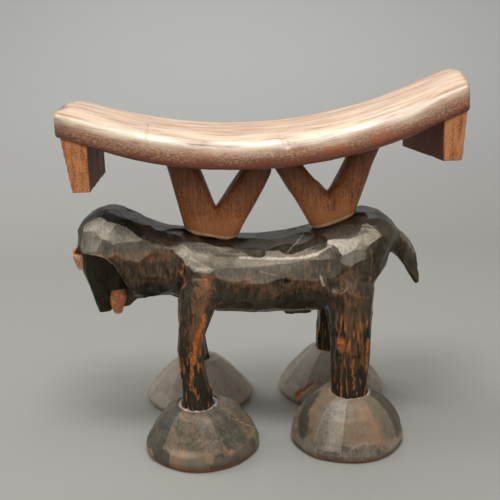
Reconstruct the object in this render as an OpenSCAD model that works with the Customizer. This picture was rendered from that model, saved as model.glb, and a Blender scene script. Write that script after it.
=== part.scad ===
// Carved headrest: a curved pillow on two V struts, carried by a standing animal on four bell feet.
// X runs along the animal from head to tail, Y from its left side to its right, Z is up.

/* [Pillow] */
// Length of the pillow from end to end
pillow_l = 186; // [170:1:200]
// Depth of the pillow from front edge to back edge
pillow_w = 50; // [42:1:56]
// Thickness of the pillow at its middle
pillow_t = 14; // [13.5:0.5:18]
// Thickness of the pillow at its head end
head_end_t = 10.4; // [8:0.2:13]
// Thickness of the pillow at its tail end
tail_end_t = 12.4; // [9:0.2:14]
// Radius of the neck rest's curve on the head side
head_curve_r = 235; // [200:5:320]
// Radius of the neck rest's curve on the tail side
tail_curve_r = 215; // [200:5:320]
// How far the lowest point of that curve lies towards the head end
pillow_low = 8; // [0:1:14]
// How far the neck rest's curve droops at the head end
head_end_fall = 2; // [0:0.2:4]
// How far the neck rest's curve droops at the tail end
tail_end_fall = 3; // [0:0.2:4]
// Rise of the back edge over the front edge
pillow_roll = 2.4; // [0:0.2:4]
// Radius of the rounded upper edge at the front
front_edge_r = 8; // [4:0.5:8]
// Radius of the rounded upper edge at the back
back_edge_r = 4; // [2:0.5:8]
// Radius of the rounded lower edges
lower_edge_r = 2.5; // [1:0.5:3]
// Setback of the head end at the back
head_end_skew = 4.5; // [0:0.5:8]
// Length over which the tail end is cut off at a slant and rounded
tail_corner_l = 4.5; // [2:0.5:8]
// How far the slanted end face takes off the near corner, across the pillow
tail_near_cut = 27; // [15:0.5:30]
// How far the far corner is rounded off, across the pillow
tail_far_round = 9; // [2:0.5:14]

/* [Lugs] */
// Thickness of a lug along the pillow
lug_t = 9.6; // [8:0.2:12]
// How much thicker the head-end lug is at the back
head_lug_taper = 2; // [0:0.5:6]
// How far the head-end lug's outer face leans in towards its bottom
head_lug_lean = 3.8; // [0:0.2:5]
// How much thicker the tail-end lug is at the back
tail_lug_taper = 7; // [0:0.5:8]
// How far the tail-end lug's outer face leans in towards its bottom
tail_lug_lean = 1.8; // [0:0.2:3]
// Setback of the head-end lug from the pillow's end
head_lug_inset = 3.4; // [2:0.2:8]
// Setback of the tail-end lug from the pillow's end
tail_lug_inset = 5.8; // [5:0.2:10]
// Setback of a lug from the pillow's front and back edges
lug_side_inset = 1; // [0.5:0.5:4]
// Height of the head-end lug under the pillow
head_lug_drop = 24.6; // [15:0.1:30]
// Height of the tail-end lug under the pillow
tail_lug_drop = 22.5; // [15:0.1:30]

/* [Struts] */
// Height of the struts from the lowest point of the back to the pillow
strut_h = 37; // [30:0.5:42]
// Depth of a strut from front to back
strut_depth = 16; // [13:1:24]
// Width of the front strut's arms at the pillow
front_arm_w = 14.4; // [13:0.2:16]
// Width of the rear strut's arms at the pillow
rear_arm_w = 13.2; // [12:0.2:16]
// Width of one arm where it runs into the foot of the V
arm_foot_w = 18.6; // [17:0.2:20]
// Width of the foot of a V
strut_foot_w = 22.6; // [21:0.2:25]
// Distance between the feet of the two V struts
strut_spacing = 57.5; // [55:0.5:62]
// How much thicker a slanting arm is at its foot than a steep one
slant_swell = 1.2; // [0:0.2:4]
// Sideways reach of the front strut's steep arm
front_steep_reach = 12.5; // [10:0.5:15]
// How far the front strut's slanting arm stays from the plane where the struts meet, at its middle
front_slant_inset = 2.8; // [1:0.2:6]
// Sideways reach of the rear strut's steep arm
rear_steep_reach = 14.5; // [10:0.5:16]
// How far the rear strut's slanting arm stays from that plane
rear_slant_inset = 6.2; // [3:0.2:6.4]

/* [Animal body] */
// Height of the middle of the barrel
barrel_h = 35.5; // [32:0.5:42]
// Width of the barrel
barrel_w = 52; // [46:1:56]
// Width over the rump
rump_w = 60; // [56:1:64]
// Rise of the rump over the back
rump_rise = 11; // [7:0.5:14]
// Rise of the neck's top over the back
neck_rise = 7; // [5:0.5:12]
// Rise of the chest over the belly in front of the forelegs
chest_rise = 9; // [5:0.5:12]
// Distance from the forelegs to the plane between torso and neck
chest_l = 12; // [11:0.5:15]
// Distance from the hind legs to the end of the rump
rump_l = 28; // [26:1:33]

/* [Head] */
// Width of the neck
neck_w = 43; // [38:1:48]
// Length of the neck
neck_l = 9.5; // [8:0.5:14]
// Length of the domed skull in front of the neck
skull_l = 33.5; // [30:0.5:36]
// Width of the skull
skull_w = 47; // [42:1:52]
// Rise of the crown over the back
crown_rise = 16.5; // [13:0.5:20]
// Height of the brow's ledge over the belly
brow_rise = 32; // [29:0.5:34]
// Length of the muzzle from the brow's ledge to its tip
muzzle_l = 30; // [26:0.5:32]
// Width of the face under the brow
face_w = 27; // [22:0.5:32]
// Width of the muzzle's tip
muzzle_w = 14; // [10:0.5:18]
// Length of the lower jaw
jaw_l = 14; // [11:0.5:16]
// Width of the lower jaw across the face
jaw_w = 17; // [12:0.5:20]
// Thickness of the lower jaw
jaw_t = 8.8; // [5:0.2:9]
// Height of the knob at the front of the brow
knob_h = 11; // [7:0.5:12]
// Width of that knob across the face
knob_w = 9; // [6:0.5:12]

/* [Tail and sheath] */
// Reach of the tail from its root to its tip
tail_reach = 21; // [16:0.5:24]
// Drop of the tail's tip below its root
tail_drop = 26; // [18:1:30]
// Thickness of the tail at its root
tail_t = 15; // [11:0.5:17]
// Length of the sheath along the belly
sheath_l = 16; // [10:0.5:18]
// Width of the sheath
sheath_w = 11; // [8:0.5:14]
// Depth of the sheath below the belly
sheath_drop = 3; // [1.5:0.5:4.5]

/* [Legs] */
// Height of the hind legs from their feet to the belly
leg_h = 35; // [30:1:42]
// Distance from foreleg to hind leg on the left side
left_stance = 71.8; // [66:0.2:76]
// Distance from foreleg to hind leg on the right side
right_stance = 73.4; // [66:0.2:76]
// Thickness of a foreleg at its ankle
fore_ankle = 15; // [12:0.2:16]
// Thickness of a foreleg at its knee
fore_knee = 13; // [11:0.2:16]
// Width of the shoulder
shoulder_l = 20; // [18:0.5:23]
// Thickness of a hind leg at its ankle
hind_ankle = 17; // [13:0.2:17.4]
// Thickness of a hind leg at its hock
hind_hock = 19.2; // [14:0.2:21]
// Width of the haunch
haunch_l = 24.4; // [22:0.2:28]
// Lean of the legs towards each other at the top
leg_lean = 5; // [2:0.5:7]

/* [Feet] */
// Radius of the left feet on the ground
left_foot_r = 26.8; // [24:0.2:29]
// Radius of the right feet on the ground
right_foot_r = 28.2; // [24:0.2:29]
// Height of the fore feet at their collars
fore_foot_h = 21.5; // [19:0.5:26]
// Height of the hind feet at their collars
hind_foot_h = 24; // [19:0.5:26]
// Height of the worn rim round a foot
rim_h = 3; // [1:0.5:4]
// How far the legs stand outside the middles of their feet
ankle_shift = 1.5; // [0:0.5:2]
// Radius of the collar that an ankle stands in
collar_r = 10.4; // [10:0.2:12]
// Fall of the collar from its inner to its outer side
collar_fall = 1; // [0:0.5:3]
// Fullness of the left feet, from 1 for a straight cone to 2 for a round bell
left_bell = 1.6; // [1:0.05:2.2]
// Fullness of the right feet
right_bell = 1.15; // [1:0.05:2.2]
// Depth of the seat that the ankle stands in
seat_d = 2; // [1:0.5:3]
// Gap between the left and the right feet
foot_gap = 1; // [0.5:0.5:6]
// Number of knife facets round a foot
foot_facets = 15; // [9:1:19]

/* [Finish] */
// Depth of the unevenness that the knife leaves
knife = 0.5; // [0:0.1:0.8]

/* [Hidden] */

polished = "sienna";
raw = "peru";
reddish = "saddlebrown";
blackened = "#3a322c";
worn = "#c98a55";

// Levels that the rest is built up from
belly_z = hind_foot_h + leg_h;
back_z = belly_z + barrel_h;
pillow_z = back_z + strut_h + pillow_t;

// Places along the animal
stance_x = -1;
fore_x = stance_x - left_stance / 2;
hind_x = stance_x + left_stance / 2;
right_fore_x = stance_x - right_stance / 2;
right_hind_x = stance_x + right_stance / 2;
neck_x = fore_x - chest_l;
skull_x = neck_x - neck_l;
face_x = skull_x - skull_l;
rump_x = hind_x + rump_l;
left_y = -right_foot_r - foot_gap / 2;
right_y = left_foot_r + foot_gap / 2;
strut_mid_x = 1.6;

// Curves

// Smooth curve through rows of numbers, with k steps from one row to the next
function between(a, b, c, d, t) =
    b + 0.5 * t * (c - a + t * (2 * a - 5 * b + 4 * c - d + t * (3 * (b - c) + d - a)));
function smooth(rows, k) = [
    for (i = [0:len(rows) - 2], j = [0:k - 1])
        between(rows[max(i - 1, 0)], rows[i], rows[i + 1], rows[min(i + 2, len(rows) - 1)], j / k),
    rows[len(rows) - 1]];

// A coordinate of a superellipse: e of 2 is round, and more is squarer
function bulge(c, e) = sign(c) * pow(abs(c), 2 / e);

// Unevenness of the knife at point i, repeatable for each seed
function cut(i, seed) = knife * rands(-1, 0, i + 1, seed)[i];

// Points round a section of the body
body_n = 20;

// Section of the body, from underside to top, square to X
function body_ring(row) = [
    for (i = [0:body_n - 1])
        let (a = 360 * (i + 0.5) / body_n,
            e = sin(a) < 0 ? row[4] : 2.3,
            d = cut(i, 5 + round(10 * row[0])),
            mid = (row[1] + row[2]) / 2,
            half = (row[2] - row[1]) / 2)
        [row[0], (row[3] + d) * bulge(cos(a), e), mid + (half + d) * bulge(sin(a), e)]];

// Section of a leg, foot or muzzle at height row[0]: centre and half sizes in X and Y
function level_ring(row, n, e, seed = 1) = [
    for (i = [0:n - 1])
        let (a = 360 * (i + 0.5) / n, d = cut(i, seed + round(10 * row[0])))
        [row[1] + (row[3] + d) * bulge(cos(a), e), row[2] + (row[4] + d) * bulge(sin(a), e), row[0]]];

// Skin over rings of points, closed at both ends
module loft(rings) {
    n = len(rings[0]);
    last = (len(rings) - 1) * n;
    polyhedron(
        points = [for (ring = rings) each ring],
        faces = concat(
            [[for (i = [0:n - 1]) i]],
            [for (j = [0:n:last - n], i = [0:n - 1]) each
                [[j + i, j + n + i, j + (i + 1) % n], [j + (i + 1) % n, j + n + i, j + n + (i + 1) % n]]],
            [[for (i = [n - 1:-1:0]) last + i]]));
}

// Pillow

// Height of the neck rest's curve at x, and thickness of the pillow there
function rest_z(x) =
    let (r = x < -pillow_low ? head_curve_r : tail_curve_r)
    pillow_z + r - sqrt(pow(r, 2) - pow(x + pillow_low, 2))
        - (x < 0 ? head_end_fall : tail_end_fall) * pow(max(0, 12 * abs(x) / pillow_l - 5), 2);
function thickness(x) =
    pillow_t + ((x < 0 ? head_end_t : tail_end_t) - pillow_t) * pow(2 * x / pillow_l, 4);

// Upper and lower corner of the pillow's section on one side: across, down from its top, and 1
// where the point hangs from the underside
corner_steps = 4;
function upper_corner(side, r) = [
    for (i = [0:corner_steps])
        let (a = 90 * i / corner_steps)
        [side * (pillow_w / 2 - r * (1 - sin(a))), -r * (1 - cos(a)), 0]];
function lower_corner(side) = [
    for (a = [0, 45, 90])
        [side * (pillow_w / 2 - lower_edge_r * (1 - cos(a))), lower_edge_r * (1 - sin(a)), 1]];
function reversed(list) = [for (i = [len(list) - 1:-1:0]) list[i]];
shares = [-0.25, 0, 0.25];
function section(r) = concat([for (v = reversed(shares)) [v * pillow_w, v == 0 ? 1 : 0.6, 0]],
    upper_corner(-1, r), lower_corner(-1), [for (v = shares) [v * pillow_w, 0, 1]],
    reversed(lower_corner(1)), reversed(upper_corner(1, back_edge_r)));

// Ring of the pillow at x. Its near edge is crisper towards the ends. The tail end is cut off at a
// slant from the near corner and rounded at the far one
function pillow_ring(x) =
    let (t = max(0, 1 + (x - pillow_l / 2) / tail_corner_l),
        near = -pillow_w / 2 + tail_near_cut * t,
        far = pillow_w / 2 - tail_far_round * (1 - sqrt(max(0, 1 - t * t))),
        edge_r = front_edge_r * (1 - 0.75 * pow(2 * x / pillow_l, 4)))
    [for (p = section(edge_r))
        let (y = (near + far) / 2 + (far - near) / pillow_w * p[0],
            skew = max(0, -2 * x / pillow_l) * head_end_skew * (0.5 + y / pillow_w))
        [x + skew, y, rest_z(x + skew) + p[1] - p[2] * thickness(x) + pillow_roll * y / pillow_w]];

module pillow() {
    first = -pillow_l / 2;
    last = pillow_l / 2 - tail_corner_l;
    step = (last - first) / 22;
    xs = concat([for (i = [0:22]) first + i * step],
        [for (t = [0.4, 0.7, 0.9, 1]) last + t * tail_corner_l]);
    color(polished) loft([for (x = xs) pillow_ring(x)]);
}

// Lugs

// One lug, with the middle of its outer face at x, on side -1 or 1. Its inner face turns by the taper
// from the near to the far edge, and its outer face leans in by the lean towards the bottom
module lug(x, side, drop, taper, lean) {
    low = rest_z(x) - thickness(x) - drop;
    corners = [[-1, -1], [1, -1], [1, 1], [-1, 1]];
    difference() {
        loft([for (level = [0, 1])
            [for (c = corners)
                let (far = c[1] > 0 ? 1 : 0,
                    outer = (0.5 - level) * lean + (side < 0 ? far * head_end_skew : 0),
                    inner = lug_t + far * taper)
                [x - side * (c[0] * side > 0 ? outer : inner), c[1] * (pillow_w / 2 - lug_side_inset),
                    low + level * (drop + lower_edge_r)]]]);
        for (lift = [0, head_end_t / 2])
            translate([0, 0, lift]) pillow();
    }
}

module head_end_lug() {
    color(raw) lug(-pillow_l / 2 + head_lug_inset, -1, head_lug_drop, head_lug_taper, head_lug_lean);
}

module tail_end_lug() {
    color(raw) lug(pillow_l / 2 - tail_lug_inset, 1, tail_lug_drop, tail_lug_taper, tail_lug_lean);
}

// Struts

// One arm of a V from its foot to the pillow: place, width and height of the foot, place and width
// of the head. Below its foot the arm keeps its own share of its lean
module arm(foot_x, foot_w, foot_z, head_x, head_w, lean) {
    head_z = back_z + strut_h;
    loft([for (t = [-0.4, 0, 0.5, 0.9, 1 + pillow_t / strut_h])
        level_ring([foot_z + t * (head_z - foot_z), foot_x + max(t, lean * t) * (head_x - foot_x), 0,
            foot_w / 2 + (head_w - foot_w) / 2 * min(t, 1), strut_depth / 2], 20, 2.7, 3)]);
}

// A V strut over x. Its steep arm leans to side -1 or 1, away from the other strut, and its slanting
// arm ends at the plane where the two struts meet under the pillow
module strut(x, foot_z, side, arm_w, steep, inset) {
    spread = (strut_foot_w - arm_foot_w) / 2;
    slant = strut_spacing / 2 - inset;
    difference() {
        union() {
            arm(x + side * spread, arm_foot_w, foot_z, x + side * steep, arm_w, 0);
            arm(x - side * (spread + slant_swell / 2), arm_foot_w + slant_swell, foot_z,
                x - side * slant, arm_w, 1);
        }
        translate([strut_mid_x - side * strut_spacing, 0, pillow_z])
            cube([2 * strut_spacing, 2 * strut_depth, 2 * strut_spacing], center = true);
        torso();
        pillow();
    }
}

module front_strut() {
    color(reddish)
        strut(strut_mid_x - strut_spacing / 2, back_z + 1, -1, front_arm_w, front_steep_reach,
            front_slant_inset);
}

module rear_strut() {
    color(reddish)
        strut(strut_mid_x + strut_spacing / 2, back_z + 9, 1, rear_arm_w, rear_steep_reach,
            rear_slant_inset);
}

// Body

// Stations of the torso: x, underside, top, half width and squareness of the underside
torso_rows = [
    [neck_x, belly_z + chest_rise, back_z + neck_rise, neck_w / 2, 2.3],
    [fore_x, belly_z + 5, back_z + 0.64 * neck_rise, barrel_w / 2, 2.3],
    [fore_x + 11, belly_z + 1, back_z + 0.25 * neck_rise, barrel_w / 2 + 1, 2.3],
    [fore_x + 26, belly_z - 0.8, back_z, barrel_w / 2, 2.3],
    [fore_x + 41, belly_z - 1.4, back_z + 0.3, barrel_w / 2, 2.3],
    [hind_x - 14, belly_z - 1.6, back_z + 0.27 * rump_rise, barrel_w / 2 + 1, 2.3],
    [hind_x, belly_z + 1, back_z + 0.7 * rump_rise, rump_w / 2, 2.3],
    [hind_x + 11, belly_z + 9, back_z + rump_rise, rump_w / 2, 2.3],
    [rump_x - 9, belly_z + 19, back_z + 0.86 * rump_rise, 0.4 * rump_w, 2.3],
    [rump_x - 4, belly_z + 26, back_z + 0.55 * rump_rise, 0.26 * rump_w, 2.3],
    [rump_x, belly_z + 31, back_z + 0.1 * rump_rise, 0.1 * rump_w, 2.3]];

module torso() {
    color(blackened) loft([for (row = smooth(torso_rows, 3)) body_ring(row)]);
}

// Levels and places of the face
brow_z = belly_z + brow_rise;
mouth_z = brow_z - 0.58 * muzzle_l;
face_front = face_x + 3.5;
face_back = skull_x - 0.2 * skull_l;
jaw_x = face_front + 15.6;

// Stations of the skull and neck, from the face back, in the order of the torso's
skull_rows = [
    [face_x, brow_z - 0.5, back_z + 0.2 * crown_rise, 0.16 * skull_w, 3],
    [skull_x - 0.87 * skull_l, brow_z - 0.7, back_z + 0.65 * crown_rise, skull_w / 2 - 9, 4],
    [skull_x - 0.72 * skull_l, brow_z + 0.5, back_z + 0.88 * crown_rise, skull_w / 2 - 4, 5],
    [skull_x - 0.54 * skull_l, brow_z - 1.5, back_z + 0.99 * crown_rise, skull_w / 2 - 1, 5],
    [skull_x - 0.44 * skull_l, brow_z - 5, back_z + crown_rise, skull_w / 2, 4.5],
    [skull_x - 0.33 * skull_l, brow_z - 11, back_z + 0.97 * crown_rise, skull_w / 2, 3.5],
    [skull_x - 0.21 * skull_l, belly_z + chest_rise, back_z + 0.88 * crown_rise, skull_w / 2, 3],
    [skull_x, belly_z + chest_rise, back_z + 0.66 * crown_rise, skull_w / 2 - 0.5, 2.3]];
neck_rows = [skull_rows[len(skull_rows) - 1], torso_rows[0]];

module neck() {
    color(blackened) loft([for (row = neck_rows) body_ring(row)]);
}

// Throat behind the jaw, which fills the underside of the head
throat_rows = [
    [brow_z - muzzle_l + 2, jaw_x + 2.5, 0, 2.5, 0.16 * face_w],
    [mouth_z - 4, jaw_x + 7.5, 0, 8, 0.2 * face_w],
    [mouth_z + 6, jaw_x + 8, 0, 8, 0.3 * face_w]];

module head() {
    color(blackened) {
        loft([for (row = smooth(skull_rows, 3)) body_ring(row)]);
        loft([for (row = throat_rows) level_ring(row, 12, 2.6, 8)]);
    }
}

// Face

// Levels of the face under the brow: height, centre and half sizes
face_mid = (face_front + face_back) / 2;
face_half = (face_back - face_front) / 2;
muzzle_rows = [
    [mouth_z, face_mid - 0.2, 0, face_half - 2.8, face_w / 2 - 2],
    [brow_z - 0.3 * muzzle_l, face_mid, 0, face_half, face_w / 2 - 0.5],
    [brow_z + 3, face_mid, 0, face_half, face_w / 2]];
snout_rows = [
    [brow_z - muzzle_l, face_front + 8, 0, 2.8, muzzle_w / 2],
    [mouth_z + 1, face_front + 6.6, 0, 4.4, face_w / 2 - 3.5]];

// Face up into the head; it also shapes what meets it
module face_form() {
    loft([for (row = muzzle_rows) level_ring(row, 12, 4, 7)]);
    loft([for (row = snout_rows) level_ring(row, 12, 4, 7)]);
}

module muzzle() {
    color(blackened)
        difference() {
            face_form();
            head();
            neck();
        }
}

jaw_rows = [
    [mouth_z - jaw_l, jaw_x - 1.2, 0, 0.2 * jaw_t, 0.24 * jaw_w],
    [mouth_z - 0.7 * jaw_l, jaw_x - 0.8, 0, 0.4 * jaw_t, 0.4 * jaw_w],
    [mouth_z - 0.3 * jaw_l, jaw_x, 0, jaw_t / 2, jaw_w / 2],
    [mouth_z + 2, jaw_x, 0, 0.34 * jaw_t, 0.36 * jaw_w]];

module lower_jaw() {
    color(worn)
        difference() {
            loft([for (row = smooth(jaw_rows, 2)) level_ring(row, 12, 3.6, 9)]);
            face_form();
            head();
        }
}

// Knob at the front of the brow
knob_rows = [
    [brow_z - 0.7 * knob_h, face_x + 0.4 * knob_w, 0, 0.27 * knob_w, 0.4 * knob_w],
    [brow_z - 0.2 * knob_h, face_x + 0.27 * knob_w, 0, 0.36 * knob_w, knob_w / 2],
    [brow_z + 0.45 * knob_h, face_x + 0.23 * knob_w, 0, 0.31 * knob_w, 0.4 * knob_w]];

module brow_knob() {
    color(worn)
        difference() {
            loft([for (row = knob_rows) level_ring(row, 10, 3, 11)]);
            head();
            face_form();
        }
}

// Tail: a horn that springs from the rump and hooks down. Stations from root to tip: share of the
// reach, share of the drop, half thickness and the angle that the horn points down by there
tail_rows = smooth([
    [0, 0, tail_t / 2, 20],
    [0.44, 0.16, 0.8 * tail_t / 2, 42],
    [0.78, 0.5, 0.56 * tail_t / 2, 62],
    [1, 1, 0.12 * tail_t / 2, 78]], 3);
tail_root_x = rump_x - 0.5 * tail_reach;
tail_root_z = back_z - 1.5;
function tail_ring(row) = [
    for (i = [0:9])
        let (b = 36 * (i + 0.5), out = row[2] * cos(b))
        [tail_root_x + row[0] * tail_reach + out * sin(row[3]),
            -0.85 * row[2] * sin(b),
            tail_root_z - row[1] * tail_drop + out * cos(row[3])]];

module tail() {
    color(blackened)
        difference() {
            loft([for (row = tail_rows) tail_ring(row)]);
            torso();
        }
}

// Sheath under the belly, between the legs
sheath_x = hind_x - 21;
sheath_rows = [
    [belly_z - 0.8 - sheath_drop, sheath_x, 0, sheath_l / 2 - 1, sheath_w / 2 - 1],
    [belly_z + 6, sheath_x, 0, sheath_l / 2, sheath_w / 2]];

module sheath() {
    color(blackened)
        difference() {
            loft([for (row = sheath_rows) level_ring(row, 12, 4, 13)]);
            torso();
        }
}

// Legs

// Levels of a leg from its seat up: height, centre and half sizes. It leans to side -1 or 1
function leg_rows(x, y, h, drift, knee_drift, top, knee, ankle) =
    let (inward = -sign(y) * leg_lean,
        shin_z = h + 0.33 * (belly_z - h),
        knee_z = h + 0.72 * (belly_z - h))
    [[h - collar_fall / 2 - seat_d, x, y, ankle / 2, ankle / 2],
    [shin_z, x + 0.3 * knee_drift, y + 0.15 * inward, (ankle + knee) / 4 + 0.2, ankle / 2],
    [knee_z, x + knee_drift, y + 0.4 * inward, knee / 2, ankle / 2 + 0.5],
    [belly_z + 2, x + (drift + knee_drift) / 2, y + 0.75 * inward, (knee + top) / 4, ankle / 2 + 1],
    [belly_z + 15, x + drift, y + inward, top / 2, ankle / 2 + 1],
    [belly_z + 27, x + drift, y + 2.2 * inward, 0.36 * top, ankle / 2 - 2]];

function fore_rows(x, y) = leg_rows(x, y, fore_foot_h, 3.4, -2, shoulder_l, fore_knee, fore_ankle);
function hind_rows(x, y) = leg_rows(x, y, hind_foot_h, -0.2, 0.6, haunch_l, hind_hock, hind_ankle);

// Leg above its foot's seat; it also shapes that seat
module leg_form(rows, seed) {
    loft([for (row = smooth(rows, 2)) level_ring(row, 12, 2.5, seed)]);
}

module leg(rows, seed) {
    difference() {
        leg_form(rows, seed);
        torso();
    }
}

module left_foreleg() {
    color(blackened) leg(fore_rows(fore_x, left_y), 21);
}

module right_foreleg() {
    color(blackened) leg(fore_rows(right_fore_x, right_y), 22);
}

module left_hind_leg() {
    color(blackened) leg(hind_rows(hind_x, left_y), 23);
}

module right_hind_leg() {
    color(blackened) leg(hind_rows(right_hind_x, right_y), 24);
}

// Feet

// Angle of knife facet i, a little uneven
function facet_angle(i, seed) = 360 / foot_facets * (i + rands(-0.3, 0.3, i + 1, seed)[i]);

// Ring of a foot of height h round [x, y], u from 0 at the rim to 1 at the collar, along a quarter
// superellipse
function foot_ring(x, y, h, u, r_max, bell, seed) = [
    for (i = [0:foot_facets - 1])
        let (a = facet_angle(i, seed),
            r = collar_r + (r_max - collar_r) * pow(cos(90 * u), 2 / bell),
            fall = sign(y) * collar_fall / 2 * sin(a) * u * u)
        [x + r * cos(a), y + r * sin(a), rim_h + (h - fall - rim_h) * pow(sin(90 * u), 2 / bell)]];

// Foot of height h with its middle at x, under a leg, with the seat that the leg's ankle stands in
module foot(x, h, rows, r, bell, leg_seed, seed) {
    y = rows[0][2];
    rim = foot_ring(x, y, h, 0, r - 0.5 * rim_h, bell, seed);
    difference() {
        loft(concat([[for (p = rim) [p[0], p[1], 0]]],
            [for (u = [0, 0.1, 0.22, 0.36, 0.52, 0.7, 0.86, 1]) foot_ring(x, y, h, u, r, bell, seed)]));
        leg_form(rows, leg_seed);
    }
}

// Fore foot under the foreleg at [x, y], and hind foot under the hind leg at [x, y]
module fore_foot(x, y, r, bell, leg_seed, seed) {
    foot(x + ankle_shift, fore_foot_h, fore_rows(x, y), r, bell, leg_seed, seed);
}
module hind_foot(x, y, r, bell, leg_seed, seed) {
    foot(x - ankle_shift, hind_foot_h, hind_rows(x, y), r, bell, leg_seed, seed);
}

module left_fore_foot() {
    color(blackened) fore_foot(fore_x, left_y, left_foot_r, left_bell, 21, 31);
}

module right_fore_foot() {
    color(blackened) fore_foot(right_fore_x, right_y, right_foot_r, right_bell, 22, 32);
}

module left_hind_foot() {
    color(blackened) hind_foot(hind_x, left_y, left_foot_r, left_bell, 23, 33);
}

module right_hind_foot() {
    color(blackened) hind_foot(right_hind_x, right_y, right_foot_r, right_bell, 24, 34);
}

pillow();
head_end_lug();
tail_end_lug();
front_strut();
rear_strut();
torso();
neck();
head();
brow_knob();
muzzle();
lower_jaw();
tail();
sheath();
left_foreleg();
right_foreleg();
left_hind_leg();
right_hind_leg();
left_fore_foot();
right_fore_foot();
left_hind_foot();
right_hind_foot();
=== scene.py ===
import math

import bpy
import numpy as np
from bpy.props import FloatProperty, FloatVectorProperty, IntProperty, PointerProperty
from mathutils import Matrix, Vector, noise
from mathutils.bvhtree import BVHTree


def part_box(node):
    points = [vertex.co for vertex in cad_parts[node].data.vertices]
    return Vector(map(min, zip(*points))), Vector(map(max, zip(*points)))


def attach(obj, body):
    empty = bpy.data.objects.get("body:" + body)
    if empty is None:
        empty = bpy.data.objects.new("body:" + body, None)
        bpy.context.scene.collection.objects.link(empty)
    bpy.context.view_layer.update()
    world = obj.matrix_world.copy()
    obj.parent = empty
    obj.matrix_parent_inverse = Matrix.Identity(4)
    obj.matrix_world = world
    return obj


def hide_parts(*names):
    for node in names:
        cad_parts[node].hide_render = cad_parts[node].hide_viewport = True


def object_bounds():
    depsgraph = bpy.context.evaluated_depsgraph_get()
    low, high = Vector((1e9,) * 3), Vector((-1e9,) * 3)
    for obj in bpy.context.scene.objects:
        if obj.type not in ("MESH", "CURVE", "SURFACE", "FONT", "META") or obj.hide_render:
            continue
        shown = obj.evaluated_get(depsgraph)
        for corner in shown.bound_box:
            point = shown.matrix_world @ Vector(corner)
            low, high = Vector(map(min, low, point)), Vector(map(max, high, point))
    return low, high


bl_info = {
    "name": "Carved Headrest",
    "version": (1, 0, 0),
    "blender": (4, 5, 0),
    "location": "View3D > Sidebar > Headrest",
    "description": "Carves and finishes a wooden headrest held up by a four-legged animal",
    "category": "Object",
}

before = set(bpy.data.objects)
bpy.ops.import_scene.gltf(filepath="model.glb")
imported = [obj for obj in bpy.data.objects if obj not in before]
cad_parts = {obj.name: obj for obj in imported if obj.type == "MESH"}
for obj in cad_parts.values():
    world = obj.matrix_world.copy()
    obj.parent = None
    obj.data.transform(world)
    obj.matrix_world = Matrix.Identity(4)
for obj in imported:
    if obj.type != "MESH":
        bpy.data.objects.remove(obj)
CAD_BOX = [list(corner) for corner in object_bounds()]

MM = 0.001
LOWEST, HIGHEST = (np.array(corner) / MM for corner in CAD_BOX)
# The wood stays this far inside the CAD's own box, in millimetres
INSET = 0.005
# What is kept at each point of the wood for its material: the tone of the cut that it lies in, the ridges
# between cuts, and how worn, how pale and how dark it is
MARKS = ("tone", "ridge", "wear", "pale", "dark")
# The two ways that the knife's cuts and the grain run
UPRIGHT, ALONG = (0, 0, 1), (1, 0, 0)

# The photograph's view: where it was taken from in millimetres, its directions, and its lens
EYE = (-32.288, -395.355, 197.035)
VIEW_RIGHT = (0.99741, -0.06673, -0.02691)
VIEW_UP = (0.04372, 0.26501, 0.96325)
VIEW_FORWARD = (0.05715, 0.96193, -0.26724)
LENS = 61.2

BODY_NODES = ("torso", "neck", "head", "tail", "left_foreleg", "right_foreleg",
              "left_hind_leg", "right_hind_leg")
# Where the body's parts begin and where its legs stand, in millimetres
LEGS_BELOW, HEAD_BEFORE, TAIL_BEHIND = 60, -45, 60
FORELEG_X, HIND_LEG_X = -36, 35
# How deep the broad facets go and how wide the tail's cuts are, in millimetres
FACET_DEPTH, TAIL_CUT = 0.75, 6.0
# Over how far a form is evened to see what stands out of it and gets worn, on the large pieces and on the
# small ones, in millimetres
WORN_REACH, SMALL_WORN_REACH = 4.6, 3
# How far the body is evened before it is carved, as rounds for cells of 1 mm
BODY_EVENING = 26
# Cells of the small pieces, and how far the snout reaches back to close the mouth, in millimetres
SMALL_CELL, MOUTH_FILL = 0.4, 1.6

# Each foot's leg, how dusty it is and how much light is painted on it, how much painted shade darkens
# it above, how pale it is rubbed below, and how much it is slimmed at two thirds of its height, as a
# share of its radius
FEET = {
    "left_fore_foot": ("left_foreleg", 0.0, 0.38, 0.0, 0.06),
    "right_fore_foot": ("right_foreleg", 0.62, 0.0, 0.0, 0.0),
    "left_hind_foot": ("left_hind_leg", 0.0, 0.0, 0.36, 0.0),
    "right_hind_foot": ("right_hind_leg", 0.55, 0.0, 0.0, 0.0)}

# Where each strut's notch ends, along the rest and up, and the crease that runs down from there: how far
# to each side and how long it is, in millimetres
NOTCHES = {"front_strut": (-25.7, 112.5), "rear_strut": (30.4, 116)}
CREASE_SIDE, CREASE_LENGTH = 7.8, 8

# How often a pattern repeats in a metre along x, y and z. 1000 is 1 mm: on the body the knife's hatching is
# about 1 mm wide and 5 mm tall, on the legs 10 mm tall, and the fibres of the struts, the lugs and the
# rubbed wood are 1.2, 2.4 and 1.1 mm wide and 11, 11 and 5 mm tall
BODY_STREAK, FACE_STREAK, LEG_STREAK = (950, 500, 190), (900, 600, 190), (900, 900, 100)
STRUT_FIBRE, LUG_FIBRE, RUBBED_FIBRE = (800, 800, 90), (420, 420, 90), (900, 900, 200)

# Each mark below is how strong it is, then its half width and the places that it runs through, in
# millimetres. The body's marks are on both sides, because only its left side is seen.

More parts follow.
